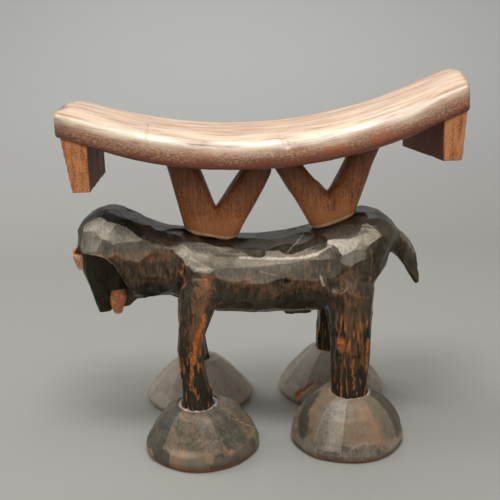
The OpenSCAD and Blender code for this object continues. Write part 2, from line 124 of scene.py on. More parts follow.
# Edges and streaks of the body where the black is gone
BODY_BARE = (
    (1.1, 1.1, (-87.5, -8.5, 92.6), (-83, -16, 93), (-79, -20.8, 93.2), (-75.5, -22.2, 92.2)),
    (0.7, 0.7, (-75.5, -22.2, 92.2), (-72.5, -22.4, 88.9), (-70.8, -22, 85.8)),
    (1.0, 0.7, (-40.9, -23.2, 88.4), (-42, -23.7, 83.9), (-39.9, -26.3, 79.8), (-41.3, -26.1, 77.9)),
    (0.8, 1.2, (-30.7, -26.2, 82.2), (-31.6, -29.5, 75), (-32.7, -32.5, 68.2)),
    (0.7, 0.9, (-35.4, -28.8, 78.5), (-36.8, -32.5, 68.4)),
    (0.8, 1.1, (-24.7, -24.5, 69.8), (-28.3, -29.1, 63.4)),
    (1.0, 1.4, (-31.5, -32.4, 66.2), (-35.5, -33.4, 57.1), (-37.9, -34.4, 44.5)),
    (0.95, 0.6, (-39, -34.1, 49.3), (-39.4, -34.8, 40), (-39.8, -35.1, 31.5)),
    (1.0, 0.9, (-44.6, -30.4, 48.1), (-44, -31.5, 40.1)),
    (0.8, 0.6, (-34.7, -33.5, 43.9), (-31.1, -31.7, 29.5)),
    (0.6, 0.6, (-40.8, -32.1, 59.8), (-42.5, -32.8, 52.9)),
    (0.9, 0.5, (37.6, -34, 61.8), (38, -35, 50.4)),
    (1.0, 0.6, (42.5, -33.1, 51.4), (41.5, -34.2, 36.5)),
    (0.8, 0.6, (30.2, -34.7, 40.8), (29.7, -35.1, 30.6)),
    (0.9, 0.5, (34.7, -35.6, 42.5), (36, -36.3, 27.7)),
    (0.8, 0.8, (44.6, -28.3, 79.3), (43.6, -31.6, 64)),
    (0.95, 2.2, (29.8, -34, 51.5), (30, -34, 48.6)),
    (0.6, 0.8, (26.5, -31.6, 70.7), (28.2, -32.8, 56.5)),
    (0.55, 1.0, (33.1, -33.3, 70.9), (32.1, -34, 59.1)),
    (0.5, 0.8, (26.1, -25.8, 87), (24.0, -27.2, 78.9), (25.3, -30.5, 71.8)),
    (0.6, 0.5, (3.6, -25.2, 81.5), (7.5, -25.2, 80.6), (8.5, -25.5, 77.5), (4, -25.6, 76.9)),
    (0.5, 0.6, (-4.5, -19.7, 87.4), (8, -20.6, 87.2), (19.8, -21.6, 88.6)),
    (0.6, 0.7, (44.9, -28.5, 92.6), (46.7, -28.9, 87), (46, -28.1, 80.6)))

# Places of the body that hands have rubbed brown
BODY_BROWN = (
    (0.5, 3.4, (-71.2, -23.3, 93.2), (-64.6, -22.9, 92), (-55.7, -21.3, 91.5), (-47.5, -19.2, 92)),
    (0.3, 6.5, (-66, -23, 84), (-52, -21.5, 84), (-45, -21.8, 84)),
    (0.62, 4.2, (-30.5, -27, 82), (-32.5, -30, 74), (-35, -32.5, 62), (-36, -33.4, 50)),
    (0.4, 6.0, (34, -31, 80), (36, -33.5, 62), (36, -35.5, 42)),
    (0.45, 2.6, (-19, -21.5, 85), (-17, -23.4, 77)), (0.5, 3.0, (15.5, -22.5, 86), (18.5, -25, 76)),
    (0.35, 6.0, (-17, -23.1, 80), (-5.9, -23.5, 76), (7.9, -24.3, 75), (19.3, -24.8, 77)),
    (0.25, 7.0, (-50, -10, 101), (-41, -13.6, 96)),
    (0.28, 6.0, (0, -4, 96), (14, -4, 96.5)),
    (0.32, 3.6, (57, -3, 99), (64, -2, 93), (69, -1, 85)))

# Places that stay black: the crown, the top of the neck and back, and the inner legs; and near black
# painted shade on the face under the brow, the throat, the belly, the crease before the shoulder and the
# pit in the flank
BODY_BLACK_AND_SHADE = (
    (0.95, 5.8, (-76.9, -8.6, 109.9), (-72.3, -14.8, 108.3), (-67.9, -15, 106.3), (-62.2, -16.2, 102.6)),
    (0.9, 10.0, (-84, 0, 108), (-76, 0, 110), (-66, 0, 108), (-56, 0, 102), (-46, 0, 98), (-38, 0, 96)),
    (0.65, 9.0, (-30, 0, 94), (0, 0, 93), (20, 0, 94), (36, 0, 100), (48, 0, 103)),
    (0.8, 2.6, (-71, -21, 82), (-66, -21, 76)), (0.8, 7.0, (-70, -16, 76), (-60, -14, 72), (-48, -12, 70)),
    (0.9, 9.0, (-30, 0, 63), (0, 0, 59), (30, 0, 59)),
    (0.7, 1.2, (-42.1, -23.6, 82), (-42.9, -21.7, 74)),
    (0.8, 1.3, (5.2, -25.3, 79.2), (6.3, -25.4, 78.4)),
    (0.6, 3.0, (-43.5, -30, 62), (-44.6, -30.4, 52)),
    (0.5, 3.0, (27, -32, 46), (27.5, -33, 36)))

# Facets burnished until they look grey and scuffs in the wax, and the glints on the head, shoulder,
# flank, haunch and tail ridge, painted in as pale highlights
BODY_PALE_AND_GLINTS = (
    (0.85, 3.4, (-80.8, -17.6, 104.6), (-78.6, -16.4, 106.8)),
    (0.85, 3.2, (-75.6, -21.3, 103.4), (-72.1, -21.9, 102)),
    (0.75, 3.2, (-82.5, -19, 99.1), (-79.8, -20.6, 97)),
    (0.4, 3.2, (-68.6, -21.4, 101), (-63.5, -19.9, 98.5)),
    (1.1, 2.8, (-38.8, -20.2, 93.2), (-34.9, -22.5, 90.8), (-30.2, -20.4, 91.9)),
    (0.7, 2.0, (-33.1, -23.8, 89.2), (-32, -25.2, 85.5)),
    (0.6, 2.2, (-16, -21.3, 86.5), (-2, -22, 85.6), (14, -23.6, 85.8)),
    (1.1, 3.0, (28.2, -21, 94.6), (35.8, -22.7, 96.2), (40.4, -23.1, 98)),
    (0.6, 1.9, (34.2, -26.6, 91.6), (34.7, -29.4, 86.8)),
    (0.4, 2.0, (40, -26, 92), (41, -28, 87)),
    (0.4, 3.0, (52, -12, 98), (58, -6, 97)),
    (0.45, 2.4, (62, -3, 96), (68, -2.6, 90), (72, -2, 82)))
# Scratches, and painted highlights along the brow's rim and along the ridge of the flank
BODY_SCRATCHES_AND_GLINTS = (
    (0.55, 0.7, (-86.5, -10, 92.8), (-83, -16, 93.2), (-79, -20.8, 93.4), (-75.5, -22.2, 92.4)),
    (0.9, 0.7, (-14.6, -19.1, 89.8), (-4.5, -19.7, 88.6), (4.7, -20.4, 88.4), (12.9, -21.4, 88.8),
     (19.8, -21.6, 89.9), (26.9, -20.9, 93.7)),
    (0.5, 0.4, (7.3, -18.2, 90.5), (11.6, -13.6, 93.4), (16.3, -5.7, 96)),
    (0.8, 0.45, (21.8, -26.8, 80.8), (22.7, -26.9, 76)),
    (0.45, 0.5, (-6, -24, 83.6), (0.9, -24.8, 81.6), (4, -25, 82)))

# Creases that part the limbs from the trunk, and the pit in the flank: depth, half width, places
BODY_CREASES = (
    (0.6, 1.1, (-39.4, -22.5, 91), (-41.4, -23.7, 86.7), (-42.1, -23.6, 81), (-42.9, -21.7, 75.6)),
    (0.5, 1.2, (24, -27.2, 79), (25.3, -30.5, 71.8), (26.6, -31.7, 64)),
    (2.6, 4.6, (-90, -1, 96), (-88.5, -8, 94)),
    (0.9, 1.6, (4.2, -25.3, 79.6), (6.3, -25.4, 78.2)),
    (0.5, 0.8, (30, -34, 52.6), (32.4, -34.4, 50), (30, -34, 47.2), (27.6, -33.6, 50), (30, -34, 52.6)))

# Broad facets that the light catches: place, the way it faces, half width, length against width
BODY_FACETS = (
    ((-80, -17.2, 105.6), (-0.4, -0.5, 0.76), 4.0, 1.2),
    ((-73.6, -21.2, 103), (-0.1, -0.74, 0.66), 3.8, 1.2),
    ((-81.4, -19.6, 98), (-0.62, -0.72, 0.3), 3.8, 1.2),
    ((-65.6, -20.8, 99.8), (0.16, -0.72, 0.67), 4.0, 1.3),
    ((-36.6, -21.6, 92), (-0.1, -0.7, 0.7), 4.6, 1.2),
    ((-30.6, -22.6, 89.6), (0.0, -0.74, 0.67), 4.0, 1.2),
    ((-21, -18, 91.4), (0.0, -0.7, 0.71), 3.6, 2.2),
    ((-4, -19.6, 88.8), (-0.04, -0.72, 0.69), 3.0, 4.0),
    ((13, -21.2, 89), (-0.08, -0.72, 0.69), 3.0, 3.0),
    ((26, -21.4, 93.2), (-0.12, -0.7, 0.7), 3.4, 2.2),
    ((36, -22.6, 96.4), (-0.12, -0.7, 0.7), 5.4, 1.7),
    ((34.4, -28, 89.4), (-0.16, -0.84, 0.52), 3.4, 1.5),
    ((-5.5, -23.6, 83.8), (0, -0.9, 0.43), 4.0, 2.4),
    ((13, -24.6, 83), (-0.03, -0.9, 0.43), 4.0, 2.0),
    ((46, -27.6, 90), (0.36, -0.86, 0.36), 4.5, 1.4))

# Marks of the feet: rubbed pale, scratched, worn pink, bare and black, and the creases cut into them
FEET_PALE = (
    (0.6, 3.2, (30, -38.8, 22), (27.4, -45.5, 18), (24.8, -50, 11), (22.6, -51.5, 5)),
    (0.5, 3.0, (-22, 10, 21), (-18, 12, 16)),
    (0.5, 3.2, (29, 12, 21), (26, 9, 17)))
FEET_SCRATCHES = (
    (1.0, 0.35, (-21.6, -38.9, 18.2), (-16.1, -37.6, 14.7), (-10.7, -32.1, 9.5)),
    (0.8, 0.4, (32, -38, 22), (31.2, -45, 19), (30.4, -50, 12), (30.8, -52, 6)),
    (0.7, 0.35, (26, -42, 19), (24, -47, 14), (26, -49, 11)))
FEET_PINK = (
    (0.8, 1.2, (-45.4, -39.2, 19.8), (-44.2, -42.4, 18.8)),
    (0.85, 1.3, (-39.4, -42.4, 20), (-40, -47.5, 16.7)),
    (0.85, 1.6, (-45.8, -52.1, 8.1), (-47.8, -51.9, 4.1)),
    (0.8, 2.0, (-34, -50, 12.6), (-32.4, -54.2, 5.8)),
    (0.6, 1.6, (-25.6, -51.5, 9), (-22.5, -50.8, 6.9)),
    (0.55, 4.0, (39, -45.1, 20.6), (41.4, -49.7, 14.8), (44.7, -51.7, 7.6)),
    (0.4, 2.6, (35.6, -51, 14.8), (32.8, -54, 9.1)))
FEET_BARE = (
    (0.9, 0.7, (-51, 10.9, 13.2), (-55.3, 9.6, 7.9)),
    (1.0, 1.5, (22.4, 7.4, 12.9), (17.7, 8, 8.9), (13.6, 8.9, 4.7)))
FEET_BLACK = (
    (0.7, 4.2, (18.1, -27.9, 20.8), (12.6, -32.8, 14.7), (11.3, -38.3, 9.8)),
    (0.5, 2.2, (-27, -46, 15), (-24, -50, 9)),
    (0.7, 0.5, (-50.5, 10.4, 14), (-56, 8.6, 8)))
FEET_CREASES = (
    (0.8, 1.0, (-51, 10.9, 13.2), (-55.3, 9.6, 7.9)),
    (0.9, 1.3, (22.4, 7.4, 12.9), (17.7, 8, 8.9), (13.6, 8.9, 4.7)),
    (0.3, 0.6, (32, -37.8, 23.6), (31.2, -45, 21), (30.5, -48.9, 17.1)),
    (0.9, 0.9, (51, 12, 14), (56, 14.6, 8.6)))

# Marks of the pillow: rubbed orange, dark, cut into it, and yellow
PILLOW_ORANGE = (
    (0.9, 2.6, (25, -25, 137.6), (32.1, -25, 138.4)), (0.8, 2.8, (46.8, -25, 142.6), (54.4, -25, 143.4)),
    (0.5, 2.0, (13, -25, 136), (17.4, -25, 137)), (0.6, 3.0, (84, -24, 153), (90, -22, 157)))
PILLOW_DARK = (
    (0.85, 2.4, (-92, -14, 159.4), (-91.1, -9, 159.6)), (0.9, 1.6, (-92.4, -8, 159.8), (-91.6, -2, 160)),
    (0.75, 0.4, (-53.8, -7.5, 150.4), (-53.8, -20.4, 148.5), (-53.6, -24, 145.1), (-53.5, -25, 138)),
    (0.4, 5.0, (-93, -25, 150), (-93, -25, 153)))
PILLOW_CREASES = (
    (0.35, 0.7, (-53.8, 0, 150.4), (-53.8, -20.4, 148.5), (-53.6, -24, 145.1), (-53.5, -25, 133)),
    (0.5, 1.0, (5.3, -19.4, 144.5), (6.7, -22.5, 142.7), (7.4, -24, 140.6)))
PILLOW_YELLOW = ((1.0, 1.3, (-93, -24.4, 157.6), (-92.6, -20, 158.6)),)


# Meshes as arrays, in millimetres

def unit(rows):
    """Rows scaled to length 1."""
    return rows / np.maximum(np.linalg.norm(rows, axis=-1, keepdims=True), 1e-9)


def smooth_step(values, low, high):
    """0 below low, 1 above high, and a soft rise between."""
    share = np.clip((values - low) / (high - low), 0, 1)
    return share * share * (3 - 2 * share)


def hump(values, middle, width):
    """1 at the middle, and a soft fall to 0 on both sides of it."""
    return np.exp(-((values - middle) / width) ** 2)


def lumps(points, size, seed=0):
    """Smooth noise from -1 to 1 at the points, with lumps about this big."""
    return np.array([noise.noise(place) for place in (points / size + 17.3 * seed).tolist()])


def deselect():
    """Nothing is selected and no object is in edit mode."""
    if bpy.context.mode != "OBJECT":
        bpy.ops.object.mode_set(mode="OBJECT")
    bpy.ops.object.select_all(action="DESELECT")


def only(obj):
    """obj alone is selected and active."""
    deselect()
    obj.select_set(True)
    bpy.context.view_layer.objects.active = obj


def apply(obj, kind, **settings):
    """Adds a modifier with these settings and applies it."""
    only(obj)
    modifier = obj.modifiers.new(kind.title(), kind)
    for key, value in settings.items():
        setattr(modifier, key, value)
    bpy.ops.object.modifier_apply(modifier=modifier.name)


def block(name, *nodes):
    """One object made of merged copies of these CAD nodes, as the wood is before it is carved."""
    deselect()
    for node in nodes:
        copy = bpy.data.objects.new(name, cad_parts[node].data.copy())
        bpy.context.collection.objects.link(copy)
        copy.select_set(True)
        bpy.context.view_layer.objects.active = copy
    if len(nodes) > 1:
        bpy.ops.object.join()
    obj = bpy.context.object
    only(obj)
    bpy.ops.object.mode_set(mode="EDIT")
    bpy.ops.mesh.select_all(action="SELECT")
    bpy.ops.mesh.remove_doubles(threshold=1e-5)
    bpy.ops.object.mode_set(mode="OBJECT")
    obj.data.materials.clear()
    return obj


class Wood:
    """A mesh of even cells as arrays: points, faces and the edges between them, in millimetres."""

    def __init__(self, obj, cell, rounds):
        apply(obj, "REMESH", mode="VOXEL", voxel_size=cell * MM)
        mesh = obj.data
        self.points = np.empty(len(mesh.vertices) * 3)
        mesh.vertices.foreach_get("co", self.points)
        self.points = self.points.reshape(-1, 3) / MM
        self.faces = np.empty(len(mesh.polygons) * 4, np.int64)
        mesh.polygons.foreach_get("vertices", self.faces)
        self.faces = self.faces.reshape(-1, 4)
        self.edges = np.empty(len(mesh.edges) * 2, np.int64)
        mesh.edges.foreach_get("vertices", self.edges)
        self.edges = self.edges.reshape(-1, 2)
        self.degree = np.bincount(self.edges.ravel(), minlength=len(self.points))
        self.cell = cell
        bpy.data.objects.remove(obj)
        # Evened and pushed back out in turn, which takes the cells' steps away and keeps the size
        for _ in range(rounds):
            self.points = self.spread(self.points, 0.5)
            self.points = self.spread(self.points, -0.52)
        # The form before the knife, what is marked at each point, and the cut that each point lies in
        self.start = self.points.copy()
        self.marks = {key: np.zeros(len(self.points)) for key in MARKS}
        self.cut_of = np.zeros(len(self.points), int)

    def spread(self, values, share):
        """values moved by share towards the mean of their neighbours."""
        a, b = self.edges.T
        rows = values if values.ndim == 2 else values[:, None]
        total = np.stack([
            np.bincount(a, column[b], len(rows)) + np.bincount(b, column[a], len(rows))
            for column in rows.T], axis=1)
        moved = rows + share * (total / self.degree[:, None] - rows)
        return moved if values.ndim == 2 else moved[:, 0]

    def normals(self, rounds=0):
        """Outward directions at the points, evened over some rounds."""
        p = self.points
        corner = p[self.faces]
        across = np.cross(corner[:, 2] - corner[:, 0], corner[:, 3] - corner[:, 1])
        out = np.zeros_like(p)
        for k in range(4):
            for axis in range(3):
                out[:, axis] += np.bincount(self.faces[:, k], across[:, axis], len(p))
        out = unit(out)
        for _ in range(rounds):
            out = unit(self.spread(out, 0.5))
        return out

    def convexity(self, reach):
        """How far each point stands out from the form evened over this reach."""
        even = self.points
        for _ in range(int((reach / self.cell) ** 2)):
            even = self.spread(even, 0.5)
        return ((self.points - even) * self.normals()).sum(1)

    def swell(self, amount):
        """Moves the surface out, to leave wood for the knife."""
        self.points = self.points + amount * self.normals(4)

    def mark(self, key, values):
        """Keeps the stronger of the mark already there and these values."""
        self.marks[key] = np.maximum(self.marks.get(key, 0), values)

    def drawn(self, lines, both=False, wobble=0.7, seed=3):
        """How strongly lines drawn on the wood mark each point."""
        moved = self.start + wobble * np.stack([lumps(self.start, 2.4, seed + k) for k in range(3)], axis=1)
        strength = np.zeros(len(moved))
        for flip in ((1, 1, 1), (1, -1, 1)) if both else ((1, 1, 1),):
            for share, width, *places in lines:
                places = np.array(places) * flip
                low, high = places.min(0) - 1.5 * width, places.max(0) + 1.5 * width
                near = np.flatnonzero(np.all((moved > low) & (moved < high), axis=1))
                nearest = np.full(len(near), 1e3)
                for a, b in zip(places[:-1], places[1:]):
                    span = b - a
                    t = np.clip(((moved[near] - a) @ span) / (span @ span), 0, 1)
                    away = moved[near] - a - t[:, None] * span
                    nearest = np.minimum(nearest, np.linalg.norm(away, axis=1))
                strength[near] = np.maximum(strength[near], share * np.clip(1.5 - nearest / width, 0, 1))
        return strength

    def by_cut(self, values):
        """Values evened over each knife cut, so that they change along its edges."""
        total = np.bincount(self.cut_of, values)
        return (total / np.maximum(np.bincount(self.cut_of), 1))[self.cut_of]

    def crease(self, lines, both=False):
        """Sinks creases into the wood."""
        self.points = self.points - self.drawn(lines, both, 0.3)[:, None] * self.normals(2)


def scatter(points, spacing, stretch, rng, inside):
    """Indices of points at least spacing apart, where lengths along each axis count by 1 / stretch."""
    scaled = points / (np.asarray(stretch) * spacing)
    taken, cells = [], {}
    for i in rng.permutation(np.flatnonzero(inside)):
        key = tuple(np.floor(scaled[i]).astype(int))
        near = (j for dx in (-1, 0, 1) for dy in (-1, 0, 1) for dz in (-1, 0, 1)
                for j in cells.get((key[0] + dx, key[1] + dy, key[2] + dz), ()))
        if all(((scaled[i] - scaled[j]) ** 2).sum() >= 1 for j in near):
            taken.append(i)
            cells.setdefault(key, []).append(i)
    return np.array(taken, int)


class Cuts:
    """Flat knife cuts: where each is centred, the way it faces, how deep it goes and how far it reaches."""

    def __init__(self):
        self.rows = []

    def add(self, centre, facing, depth, reach, grain=UPRIGHT, long=1.0):
        """One cut, which is this many times as long along the grain as it is wide."""
        self.rows.append((*centre, *facing, depth, reach, *grain, long))

    def over(self, wood, inside, spacing, depth, tilt, rng, grain=UPRIGHT, long=1.0):
        """Covers part of the wood with cuts about spacing apart, each tilted by about tilt degrees."""
        reach = 0.62 * spacing
        stretch = np.where(np.array(grain) > 0, long, 1.0)
        normals = wood.normals(int(1.1 * spacing / wood.cell))
        for i in scatter(wood.points, spacing, stretch, rng, inside):
            facing = normals[i] + rng.normal(0, math.radians(tilt), 3)
            deep = depth * rng.uniform(0.6, 1.5)
            self.add(wood.points[i], facing / np.linalg.norm(facing), deep, reach, grain, long)


def carve(wood, cuts, limit):
    """Takes the wood down to the cuts, by less than limit, and marks each cut's tone and the ridges
    between them."""
    # How fast a cut rises past its reach, and where it faces another way than the wood
    fade, turned = 0.12, 8
    # Width of the ridges and of the slabs that the wood is taken in, how far off a cut can matter, and
    # how many points are taken at a time
    ridge, slab, nearby, at_once = 0.22, 12, 30, 3000
    rows = np.array(cuts.rows)
    centre, facing, depth, reach = rows[:, :3], rows[:, 3:6], rows[:, 6], rows[:, 7]
    grain, stretch = unit(rows[:, 8:11]), rows[:, 11]
    normals = wood.normals(6)
    tones = np.random.default_rng(5).uniform(0, 1, len(rows))
    moved = wood.points.copy()
    # The points are taken a few at a time, with only the cuts that can reach them
    order = np.lexsort((wood.points[:, 2], wood.points[:, 0] // slab))
    for begin in range(0, len(order), at_once):
        part = order[begin:begin + at_once]
        low, high = wood.points[part].min(0) - nearby, wood.points[part].max(0) + nearby
        near = np.flatnonzero(np.all((centre > low) & (centre < high), axis=1))
        away = wood.points[part][:, None] - centre[near][None]
        rise = (away * facing[near]).sum(2)
        along = (away * grain[near]).sum(2)
        far = np.sqrt(np.maximum((away ** 2).sum(2) - along ** 2, 0) + (along / stretch[near]) ** 2)
        rise = rise + depth[near] - fade * np.maximum(far - reach[near], 0) ** 2
        rise -= turned * np.maximum(0.8 - normals[part] @ facing[near].T, 0)
        pair = np.argpartition(rise, -2, axis=1)[:, -2:]
        values = np.take_along_axis(rise, pair, 1)
        best = near[np.take_along_axis(pair, values.argmax(1)[:, None], 1)[:, 0]]
        top, second = values.max(1), values.min(1)
        cut = limit * np.tanh(np.maximum(top, 0) / limit)
        moved[part] -= cut[:, None] * normals[part]
        wood.cut_of[part] = best
        wood.marks["tone"][part] = np.where(top > 0, tones[best], 0.5)
        wood.marks["ridge"][part] = hump(top - np.maximum(second, 0), 0, ridge)
    wood.points = moved


def facets(angle, count, rng):
    """Flat facets of uneven width round an axis: for each angle, how far a facet sinks there as a share
    of the radius, how far its nearest edge is in radians, the facet's own random number and its index."""
    turn = 2 * math.pi
    edges = np.sort((np.arange(count) + rng.uniform(-0.3, 0.3, count)) % count) * turn / count
    which = np.searchsorted(edges, angle) % count
    after, before = edges[which], edges[which - 1]
    half = (after - before) % turn / 2
    off = (angle - before) % turn - half
    return {"sunk": 1 - np.cos(half) / np.cos(off), "edge": half - np.abs(off),
            "chance": rng.uniform(0, 1, count)[which], "index": which}


def rounding(angle, reach, sole):
    """For each angle, how far the outline of the sole has to move out, as a share of its radius, for its
    corners to become round."""
    count, spread = 90, 3
    sector = (angle / (2 * math.pi) * count).astype(int) % count
    outline = np.zeros(count)
    np.maximum.at(outline, sector[sole], reach[sole])
    ring = np.arange(-3 * spread, 3 * spread + 1)
    weight = np.exp(-0.5 * (ring / spread) ** 2)
    even = sum(w * np.roll(outline, k) for k, w in zip(ring, weight)) / weight.sum()
    middles = (np.arange(count) + 0.5) / count * 2 * math.pi
    return np.interp(angle, middles, even / outline - 1, period=2 * math.pi)


def build(name, points, faces, marks, normals=None):
    """A smooth piece from arrays in millimetres, with its marks at each point."""
    mesh = bpy.data.meshes.new(name)
    points = np.clip(points, LOWEST + (INSET, INSET, 0), HIGHEST - INSET)
    mesh.from_pydata((points * MM).tolist(), [], faces)
    mesh.update()
    mesh.shade_smooth()
    for key, values in marks.items():
        kind = "FLOAT" if values.ndim == 1 else "FLOAT_VECTOR"
        field = "value" if values.ndim == 1 else "vector"
        mesh.attributes.new(key, kind, "POINT").data.foreach_set(field, values.astype(np.float32).ravel())
    if normals is not None:
        mesh.normals_split_custom_set_from_vertices(normals.tolist())
    obj = bpy.data.objects.new(name, mesh)
    bpy.context.collection.objects.link(obj)
    return obj


def finished(wood, name):
    """The whole wood as one piece."""
    return build(name, wood.points, wood.faces.tolist(), wood.marks)


def surface(*nodes):
    """The faces of these CAD nodes as one search tree in metres, and the node that each belongs to."""
    points, faces, owner = [], [], []
    for k, node in enumerate(nodes):
        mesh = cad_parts[node].data
        first = len(points)
        points += [v.co for v in mesh.vertices]
        faces += [[first + i for i in p.vertices] for p in mesh.polygons]
        owner += [k] * len(mesh.polygons)
    return BVHTree.FromPolygons(points, faces), owner


def away_from(points, *nodes):
    """How far each point is from the surface of these CAD nodes, in millimetres."""
    tree, _ = surface(*nodes)
    return np.array([tree.find_nearest(Vector(p))[3] for p in (points * MM).tolist()]) / MM


def node_of(wood, nodes):
    """The CAD node that each face of the wood lies nearest to, as an index."""
    tree, owner = surface(*nodes)
    middles = wood.points[wood.faces].mean(1) * MM
    label = np.array([owner[tree.find_nearest(Vector(m))[2]] for m in middles.tolist()])
    votes_at = wood.faces.ravel()
    # Each face takes the node of most faces round it, which smooths the line between two pieces
    for _ in range(8):
        share = np.zeros((len(wood.points), len(nodes)))
        np.add.at(share, (votes_at, np.repeat(label, 4)), 1)
        label = share[wood.faces].sum(1).argmax(1)
    return label


def rims(faces):
    """The open rims of a surface, each as its points in order."""
    half = np.stack([faces, np.roll(faces, -1, axis=1)], axis=2).reshape(-1, 2)
    known = set(map(tuple, half.tolist()))
    following = {}
    for a, b in known:
        if (b, a) not in known:
            following.setdefault(b, []).append(a)
    while following:
        here = next(iter(following))
        loop = []
        while here in following:
            loop.append(here)
            step = following[here].pop()
            if not following[here]:
                del following[here]
            here = step
        yield loop


def parted(wood, nodes):
    """The wood parted at its CAD nodes' edges into closed pieces that shade as one surface."""
    label = node_of(wood, nodes)
    normals = wood.normals()
    made = {}
    for k, node in enumerate(nodes):
        faces = wood.faces[label == k]
        used, local = np.unique(faces, return_inverse=True)
        faces = local.reshape(faces.shape)
        points, out = wood.points[used], normals[used]
        polygons = faces.tolist()
        marks = {key: values[used] for key, values in wood.marks.items()}
        for loop in rims(faces):
            centre = len(points)
            points = np.vstack([points, points[loop].mean(0)])
            out = np.vstack([out, unit(out[loop].mean(0))])
            marks = {key: np.append(v, 0.0) for key, v in marks.items()}
            polygons += [[a, b, centre] for a, b in zip(loop, loop[1:] + loop[:1])]
        made[node] = build("carved_" + node, points, polygons, marks, out)
    return made


def settle(obj, slot, material, *nodes):
    """Gives a finished piece its material and its body, and hides the CAD nodes that it stands for. slot is
    not used.
    """
    obj.data.materials.clear()
    obj.data.materials.append(material)
    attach(obj, "root")
    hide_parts(*nodes)
    return obj


# Settings

def linear(code):
    """A colour written as sRGB hex, as linear numbers."""
    parts = [int(code[i:i + 2], 16) / 255 for i in (1, 3, 5)]
    return (*[c / 12.92 if c <= 0.04045 else ((c + 0.055) / 1.055) ** 2.4 for c in parts], 1.0)


class HeadrestSizes(bpy.types.PropertyGroup):
    """Sizes of the carving, and the power of the main lamp"""
    cell: FloatProperty(name="Cell", description="Width of the mesh cells on the carved wood",
                        default=0.00052, unit="LENGTH")
    cut_depth: FloatProperty(name="Cut Depth", description="How deep the knife cuts go",
                             default=0.00042, unit="LENGTH")
    trunk_cut: FloatProperty(name="Trunk Cut", description="Width of the knife cuts on the trunk",
                             default=0.009, unit="LENGTH")
    head_cut: FloatProperty(name="Head Cut", description="Width of the knife cuts on the head",
                            default=0.0098, unit="LENGTH")
    leg_cut: FloatProperty(name="Leg Cut", description="Width of the long cuts on the legs",
                           default=0.0052, unit="LENGTH")
    foot_cuts: IntProperty(name="Foot Cuts", description="Number of long cuts round a foot", default=11)
    collar: FloatProperty(name="Collar", description="How far the wood stands up round each ankle",
                          default=0.0011, unit="LENGTH")
    key_light: FloatProperty(name="Key Light", description="Power of the lamp overhead", default=3.7,
                             unit="POWER")


class HeadrestColours(bpy.types.PropertyGroup):
    """Colours of the woods and of the paper"""
    black: FloatVectorProperty(name="Black", description="Scorched wood", size=4, subtype="COLOR",
                               default=linear("#1f1d17"))
    soot: FloatVectorProperty(name="Soot Brown", description="Scorched wood where it is thinner", size=4,
                              subtype="COLOR", default=linear("#5a5142"))
    brown: FloatVectorProperty(name="Rubbed Brown", description="Brown that shows through the black",
                               size=4, subtype="COLOR", default=linear("#80583a"))
    bare: FloatVectorProperty(name="Bare Wood", description="Wood where the black is gone", size=4,
                              subtype="COLOR", default=linear("#d07a3e"))
    # Also the colour of the glints painted on the body as highlights
    scuff_and_glint: FloatVectorProperty(name="Scuff", description="Burnished and scuffed facets", size=4,
                               subtype="COLOR", default=linear("#d6ccba"))
    pillow_pale: FloatVectorProperty(name="Pillow Pale", description="Wood polished by the neck", size=4,
                                     subtype="COLOR", default=linear("#e2c09c"))
    pillow_brown: FloatVectorProperty(name="Pillow Brown", description="Grain of the pillow", size=4,
                                      subtype="COLOR", default=linear("#a2664c"))
    pillow_red: FloatVectorProperty(name="Pillow Red", description="Lower edge of the pillow", size=4,
                                    subtype="COLOR", default=linear("#84442b"))
    strut: FloatVectorProperty(name="Strut", description="Oiled wood of the struts", size=4,
                               subtype="COLOR", default=linear("#a8693f"))
    lug: FloatVectorProperty(name="Lug", description="Raw wood of the lugs", size=4, subtype="COLOR",
                             default=linear("#e2935f"))
    foot_grey: FloatVectorProperty(name="Foot Grey", description="Grey of the dusty feet", size=4,
                                   subtype="COLOR", default=linear("#80745f"))
    foot_pink: FloatVectorProperty(name="Foot Pink", description="Worn patches of the feet", size=4,
                                   subtype="COLOR", default=linear("#9c785c"))
    paper: FloatVectorProperty(name="Paper", description="Paper that the rest stands on", size=4,
                               subtype="COLOR", default=linear("#9f9d98"))


# Materials

def add(tree, kind, links=None, **settings):
    """A node with its settings, and with values or links in its sockets."""
    node = tree.nodes.new("ShaderNode" + kind)
    for key, value in settings.items():
        setattr(node, key, value)
    for socket, value in (links or {}).items():
        if isinstance(value, bpy.types.NodeSocket):
            tree.links.new(value, node.inputs[socket])
        else:
            node.inputs[socket].default_value = value
    return node


def material(name):
    """An empty material: itself, its tree and its shader."""
    made = bpy.data.materials.new(name)
    made.use_nodes = True
    made.node_tree.nodes.clear()
    shader = add(made.node_tree, "BsdfPrincipled")
    out = add(made.node_tree, "OutputMaterial")
    made.node_tree.links.new(shader.outputs[0], out.inputs[0])
    return made, made.node_tree, shader


